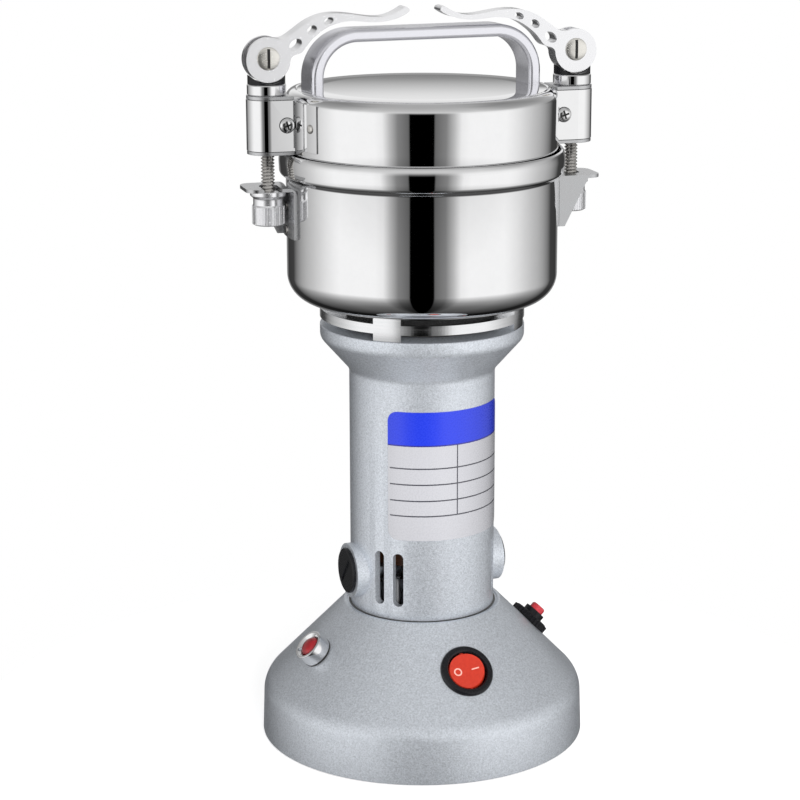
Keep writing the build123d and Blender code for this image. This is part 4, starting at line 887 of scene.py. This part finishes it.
def toothed(radius, depth, count, low, high):
    # a disc with a knurled rim
    bm = bmesh.new()
    reaches = (radius, radius, radius - depth, radius - depth)
    verts = []
    for step in range(4 * count):
        turn = math.tau * step / (4 * count)
        reach = reaches[step % 4]
        verts.append(bm.verts.new((reach * math.cos(turn), reach * math.sin(turn), low)))
    raised(bm, bm.faces.new(verts), high - low)
    bmesh.ops.recalc_face_normals(bm, faces=bm.faces)
    return bm


def bar(width, length, height, level):
    # a box centred on Z, with its middle at this level
    bm = bmesh.new()
    bmesh.ops.create_cube(bm, size=1.0)
    bmesh.ops.scale(bm, vec=(width, length, height), verts=bm.verts)
    bmesh.ops.translate(bm, vec=(0, 0, level), verts=bm.verts)
    return bm


def threaded(radius, root, pitch, low, turns, steps=20):
    # a screw thread: one ridge spun and raised together
    bm = bmesh.new()
    ridge = [(root, 0.0), (radius, 0.42), (radius, 0.55), (root, 0.97), (root, 1.0)]    # share of the pitch
    verts = [bm.verts.new((reach, 0, low + share * pitch)) for reach, share in ridge]
    for one, two in zip(verts, verts[1:]):
        bm.edges.new((one, two))
    bmesh.ops.spin(bm, geom=bm.verts[:] + bm.edges[:], cent=(0, 0, 0), axis=(0, 0, 1), angle=math.tau * turns,
                   dvec=(0, 0, pitch / steps), steps=steps * turns)
    bmesh.ops.remove_doubles(bm, verts=bm.verts, dist=0.001)
    bmesh.ops.recalc_face_normals(bm, faces=bm.faces)
    return bm


# Switch, lamp, breaker and inlet

switchShape = {"bezel": 12.1, "bezelEdge": 0.8, "height": 1.7, "bore": 8.9, "barrel": 10.4, "seat": 1.05,
               "depth": 10.0, "sink": 1.2, "crest": 1.8, "tilt": 11.0}
markShape = {"ring": (1.3, 1.85), "bar": (3.4, 0.55), "rise": 0.06, "sink": 0.05, "reach": 4.1}


def addSwitch():
    bezel, height, bore = switchShape["bezel"], switchShape["height"], switchShape["bore"]
    barrel, seat, depth = switchShape["barrel"], switchShape["seat"], switchShape["depth"]
    bm = turned([
        (0, -depth - 1), (barrel, -depth - 1), (barrel, -seat), (bezel, -seat),
        (bezel, switchShape["bezelEdge"], 0.7), (bezel - 0.9, height, 0.6), (bore + 0.6, height, 0.4),
        (bore, height - 0.7, 0.3), (bore, -depth), (0, -depth)], closed=False, steps=fittingSteps)
    addPiece(moved(bm, conePlace("switch")), "switch_bezel", "stand", "black_plastic", ("switch_body",))
    rounded("rocker", "rocker_cap", "rocker", "red_rocker", width=0.3, sharp=30.0)


def addMarks():
    # a ring and a bar printed on the two halves of the rocker
    tilt = Matrix.Rotation(math.radians(-switchShape["tilt"]), 4, "Y")
    middle = conePlace("switch") @ Matrix.Translation((0, 0, -switchShape["sink"])) @ tilt
    crest = Matrix.Translation((0, 0, switchShape["crest"]))
    (inner, outer), rise, sink = markShape["ring"], markShape["rise"], markShape["sink"]
    ring = turned([(inner, -sink), (outer, -sink), (outer, rise), (inner, rise)], steps=smallSteps)
    line = bar(*markShape["bar"], rise + sink, (rise - sink) / 2)
    out = Matrix.Translation((markShape["reach"], 0, 0))
    ring = moved(ring, middle @ Matrix.Rotation(math.pi, 4, "Z") @ crest @ tilt @ out)
    line = moved(line, middle @ crest @ tilt @ out)
    addPiece(joined([ring, line]), "rocker_marks", "rocker", "red_rocker", look="pale_print")


lampShape = {"sleeve": 7.25, "height": 7.1, "barrel": 5.9, "depth": 3.0, "seat": 0.7, "bore": 4.7,
             "rim": 6.15, "funnel": 1.6}
lensShape = {"radius": 4.6, "foot": -2.9, "edge": 6.1, "crown": (0.72, 7.3), "top": 7.9, "facets": 18}
# a black ring round the sleeve's foot, painted as the shadow line where the sleeve meets the cone
footShadowShape = {"inset": 0.6, "proud": 0.12, "foot": -0.5, "top": 0.55}


def addLamp():
    place = conePlace("lamp")
    sleeve, height, bore = lampShape["sleeve"], lampShape["height"], lampShape["bore"]
    barrel, depth, seat = lampShape["barrel"], lampShape["depth"], lampShape["seat"]
    bm = turned([
        (bore, -depth), (barrel, -depth), (barrel, -seat), (sleeve, -seat), (sleeve, height, 0.4),
        (lampShape["rim"], height, 0.2), (bore, height - lampShape["funnel"], 0.3)], steps=fittingSteps)
    addPiece(moved(bm, place), "lamp_sleeve", "stand", "bright_steel", ("lamp_bezel",), look="polished_steel")
    # painted shadow: a dark ring at the foot of the sleeve
    inner, outer = sleeve - footShadowShape["inset"], sleeve + footShadowShape["proud"]
    low, high = footShadowShape["foot"], footShadowShape["top"]
    footShadow = turned([(inner, low), (outer, low), (outer, high, 0.1), (inner, high)], steps=fittingSteps)
    addPiece(moved(footShadow, place), "lamp_foot_shadow", "stand", "black_rubber")
    lens, (share, crown) = lensShape["radius"], lensShape["crown"]
    bm = turned([(lens, lensShape["foot"]), (lens, lensShape["edge"], 0.5), (share * lens, crown, 0.8),
                 (0, lensShape["top"])], closed=False, steps=lensShape["facets"])
    addPiece(moved(bm, place), "lamp_lens_cap", "stand", "red_lens", ("lamp_lens",), sharp=12.0)


breakerShape = {"nut": 9.6, "nutHeight": 3.2, "cap": 0.6, "teeth": 30, "tooth": 0.75, "seat": 0.7,
                "bore": 5.15}


def addBreaker():
    radius, height, bore = breakerShape["nut"], breakerShape["nutHeight"], breakerShape["bore"]
    capFoot = height - breakerShape["cap"]
    rim = toothed(radius, breakerShape["tooth"], breakerShape["teeth"], -breakerShape["seat"], height - 0.5)
    rim = combined(rim, cylinder(bore, -2, height + 1))
    cap = turned([(bore, capFoot), (radius - 0.9, capFoot), (radius - 1.2, height, 0.3), (bore, height, 0.2)],
                 steps=fittingSteps)
    ring = moved(joined([rim, cap]), conePlace("breaker"))
    addPiece(ring, "breaker_ring", "stand", "black_plastic", ("breaker_nut",), bevel=0.12)
    rounded("breaker_body", "breaker_case", "stand", "black_plastic", width=0.25)
    rounded("reset_button", "reset_cap", "reset_button", "reset_red", width=0.0, sharp=30.0)


addSwitch()
addMarks()
addLamp()
addBreaker()
rounded("cord_grommet", "inlet_grommet", "stand", "black_rubber", width=0.2)
rounded("rubber_feet", "foot_pads", "stand", "black_rubber", width=0.3)
rounded("brush_caps", "brush_cap_pair", "stand", "black_plastic", width=0.3)
print("base fittings made")


# Clamps: levers, pins, rods, nuts, straps and screws

clampSides = ("right", "left")
leverShape = {"halfWidth": 4.8, "edge": 0.45}
pinShape = {"head": 5.0, "rim": 0.4, "height": 1.0, "slot": 1.3, "slotLength": 1.72, "slotDepth": 0.75,
            "shadeLength": 1.66, "shadeRise": 0.38, "dome": (3.4, 0.85, 0.8), "shank": 2.5}
rodShape = {"radius": 3.0, "root": 2.2, "overlap": 0.02, "pitch": 1.45, "threadTurns": 11,
            "threadFoot": 255.8, "cut": (2, 20, 1)}     # cut away this far outwards, below and above
nutShape = {"radius": 7.2, "flange": 7.9, "flangeHeight": 2.2, "cone": 1.1, "bore": 3.06, "teeth": 36,
            "tooth": 0.55, "knurl": 8.4, "waist": 0.6}
strapShape = {"radius": 9.0, "screwInset": 6.8, "screwLift": 0.3}
screwShape = {"head": 3.2, "height": 1.8, "shank": 1.65, "length": 4.0, "slot": 0.85, "depth": 0.95,
              "turns": (0.3, 0.3 + math.pi / 2)}
# a dark ring under each strap screw's head, painted as its contact shadow
seatShadowRing = {"inner": 2.9, "outer": 3.45, "height": 0.16}
slotShadeHeight = 0.3        # thickness of the dark bar put in a slot as painted shade
slotShadeSpare = 0.02        # and how much wider than its slot that dark bar is


def clampPlace(word, level):
    # stands a shape on a rod's axis, with X outward
    low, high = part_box("clamp_rod_" + word)
    middle = (low + high) / 2 / mm
    turn = Matrix.Rotation(math.atan2(middle.y, middle.x), 4, "Z")
    return Matrix.Translation((middle.x, middle.y, level)) @ turn


def crossScrew():
    # a domed cross-head screw with the underside of its head at the origin
    radius, height, shank = screwShape["head"], screwShape["height"], screwShape["shank"]
    length, depth = screwShape["length"], screwShape["depth"]
    bm = turned([(0, -length), (shank, -length), (shank, 0), (radius, 0), (radius, 0.4 * height, 0.25),
                 (0.7 * radius, 0.86 * height, 0.7), (0, height)], closed=False, steps=smallSteps)
    for turn in screwShape["turns"]:
        slot = bar(1.3 * radius, screwShape["slot"], depth, height - 0.35 * depth)
        bm = combined(bm, moved(slot, Matrix.Rotation(turn, 4, "Z")))
    return bm


def addPin(word):
    # the lever's pivot pin, with a slot in each head and a dark bar in each slot as painted shade
    node = "pivot_pin_" + word
    pivot = clampPlace(word, (foot(node) + top(node)) / 2)
    half, radius = leverShape["halfWidth"], pinShape["head"]
    height, slot = pinShape["height"], pinShape["slot"]
    parts, shadePieces = [], []
    for face in (1, -1):
        outward = Matrix.Rotation(-face * math.pi / 2, 4, "X")
        head = turned([(0, 0), (radius, 0), (radius, pinShape["rim"], 0.25), pinShape["dome"], (0, height)],
                      closed=False, steps=64)
        head = combined(head, bar(slot, pinShape["slotLength"] * radius, 2 * pinShape["slotDepth"], height))
        parts.append(moved(head, outward @ Matrix.Translation((0, 0, half))))
        # a dark bar in the slot, painted as the shade inside it
        shadeBar = bar(slot + slotShadeSpare, pinShape["shadeLength"] * radius, slotShadeHeight, half + pinShape["shadeRise"])
        shadePieces.append(moved(shadeBar, outward))
    parts.append(moved(cylinder(pinShape["shank"], -half, half, 32), Matrix.Rotation(math.pi / 2, 4, "X")))
    addPiece(moved(joined(parts), pivot), "pin_" + word, "lever_" + word, "bright_steel", (node,),
             look="pin_steel")
    addPiece(moved(joined(shadePieces), pivot), "pin_slot_shades_" + word, "lever_" + word, "black_rubber")


def addRod(word):
    # the rod's lower end is turned down and given a thread
    node = "clamp_rod_" + word
    place = clampPlace(word, 0)
    root, low = rodShape["root"], rodShape["threadFoot"]
    pitch, turns = rodShape["pitch"], rodShape["threadTurns"]
    outward, below, above = rodShape["cut"]
    inner, outer = root - rodShape["overlap"], root + outward
    cutFoot, cutTop = low - below, low + pitch * turns + above
    sleeve = turned([(inner, cutFoot), (outer, cutFoot), (outer, cutTop), (inner, cutTop)], steps=smallSteps)
    rod = combined(cadCopy(node), moved(sleeve, place))
    thread = moved(threaded(rodShape["radius"], root, pitch, low, turns), place)
    addPiece(joined([rod, thread]), "rod_" + word, "rod_" + word, "bright_steel", (node,))


def addNut(word):
    # a knurled ring, a waist and a flange
    node = "knurled_nut_" + word
    low, high = foot(node), top(node)
    radius, bore, knurlTop = nutShape["radius"], nutShape["bore"], low + nutShape["knurl"]
    waist = radius - nutShape["waist"]
    flange, flangeFoot = nutShape["flange"], high - nutShape["flangeHeight"]
    knurl = toothed(radius, nutShape["tooth"], nutShape["teeth"], low + 0.5, knurlTop)
    knurl = combined(knurl, cylinder(bore, low - 1, knurlTop + 1))
    upper = turned([
        (bore, knurlTop - 0.2), (radius - 0.15, knurlTop - 0.2), (waist, knurlTop + 0.7, 0.2),
        (waist, flangeFoot - nutShape["cone"], 0.4), (flange, flangeFoot, 0.3), (flange, high, 0.35),
        (bore, high)], steps=72)
    lower = turned([(bore, low), (radius - 0.9, low, 0.2), (waist, low + 0.6), (bore, low + 0.6)], steps=72)
    nut = moved(joined([knurl, upper, lower]), clampPlace(word, 0))
    addPiece(nut, "nut_" + word, "nut_" + word, "cast_silver", (node,), bevel=0.06)


def addClamp(word):
    rounded("cam_lever_" + word, "lever_" + word, "lever_" + word, "cast_silver", width=leverShape["edge"])
    addPin(word)
    addRod(word)
    addNut(word)
    rounded("bowl_bracket_" + word, "bracket_" + word, "stand", "zinc_plate", width=0.2)


def addStrapScrews():
    # each screw has a dark bar in its cross as painted shade and a dark ring round its seat as a painted
    # contact shadow
    level = (foot("clamp_straps") + top("clamp_straps")) / 2 + strapShape["screwLift"]
    inner, outer, height = seatShadowRing["inner"], seatShadowRing["outer"], seatShadowRing["height"]
    screws, shadePieces = [], []
    for word in clampSides:
        for face in (1, -1):
            spot = Matrix.Translation((-strapShape["screwInset"], face * strapShape["radius"], 0))
            place = clampPlace(word, level) @ spot @ Matrix.Rotation(-face * math.pi / 2, 4, "X")
            screws.append(moved(crossScrew(), place))
            for turn in screwShape["turns"]:
                shadeBar = bar(1.2 * screwShape["head"], screwShape["slot"] + slotShadeSpare, slotShadeHeight,
                           0.55 * screwShape["height"])
                shadePieces.append(moved(shadeBar, place @ Matrix.Rotation(turn, 4, "Z")))
            # the dark ring round the seat is a painted contact shadow
            seat = turned([(inner, 0.0), (outer, 0.0), (outer, height), (inner, height)], steps=smallSteps)
            shadePieces.append(moved(seat, place))
    addPiece(joined(screws), "strap_screws", "lid", "bright_steel", ("clamp_screws",), look="polished_steel")
    addPiece(joined(shadePieces), "strap_screw_shades", "lid", "black_rubber")


def addClampSeats():
    rounded("clamp_straps", "strap_pair", "lid", "polished_steel", width=0.15, sharp=40.0)
    rounded("clamp_blocks", "block_pair", "lid", "zinc_plate", width=0.25)
    washers = rounded("seat_washers", "washer_pair", "lid", "bright_steel", width=0.15)
    washers.data.materials[0] = materials["polished_steel"]
    rounded("cam_saddles", "saddle_pair", "lid", "black_plastic", width=0.2)
    rounded("lid_handle", "handle_strap", "lid", "handle_paint", width=0.0, sharp=50.0)
    rounded("lid_gasket", "gasket_ring", "lid", "clear_silicone", width=0.3)
    rounded("bracket_rivets", "rivet_heads", "stand", "bright_steel", width=0.15)


leafShape = {"radius": 60.42, "thickness": 0.55, "angles": (-77.6, -69.4), "steps": 12, "lift": 7.6,
             "height": 20.6, "band": (-84.2, -78.6)}
leafRivet = {"radius": 2.0, "rim": 0.3, "rise": 0.75, "angle": -73.4}


def addLeaves():
    # the straps end in leaves riveted to the lid's wall
    low = foot("lid_shell") + leafShape["lift"]
    high = low + leafShape["height"]
    radius, thickness, steps = leafShape["radius"], leafShape["thickness"], leafShape["steps"]
    head, rise = leafRivet["radius"], leafRivet["rise"]
    middle = outAlong(leafRivet["angle"], (low + high) / 2)
    parts, rivets = [], []
    for turn in (Matrix.Identity(4), Matrix.Rotation(math.pi, 4, "Z")):
        for start, stop in (leafShape["angles"], leafShape["band"]):
            parts.append(moved(plateRound(radius, thickness, low, high, start, stop, steps), turn))
        rivet = turned([(0, 0), (head, 0), (head, leafRivet["rim"], 0.2), (0.6 * head, rise, 0.4), (0, rise)],
                       closed=False, steps=40)
        spot = middle @ Matrix.Translation((0, 0, radius + thickness))
        rivets.append(moved(rivet, turn @ spot))
    addPiece(joined(parts), "lid_leaves", "lid", "polished_steel", bevel=0.15)
    addPiece(joined(rivets), "leaf_rivets", "lid", "bright_steel")


addLeaves()
for clampWord in clampSides:
    addClamp(clampWord)
addStrapScrews()
addClampSeats()
print("clamps made")
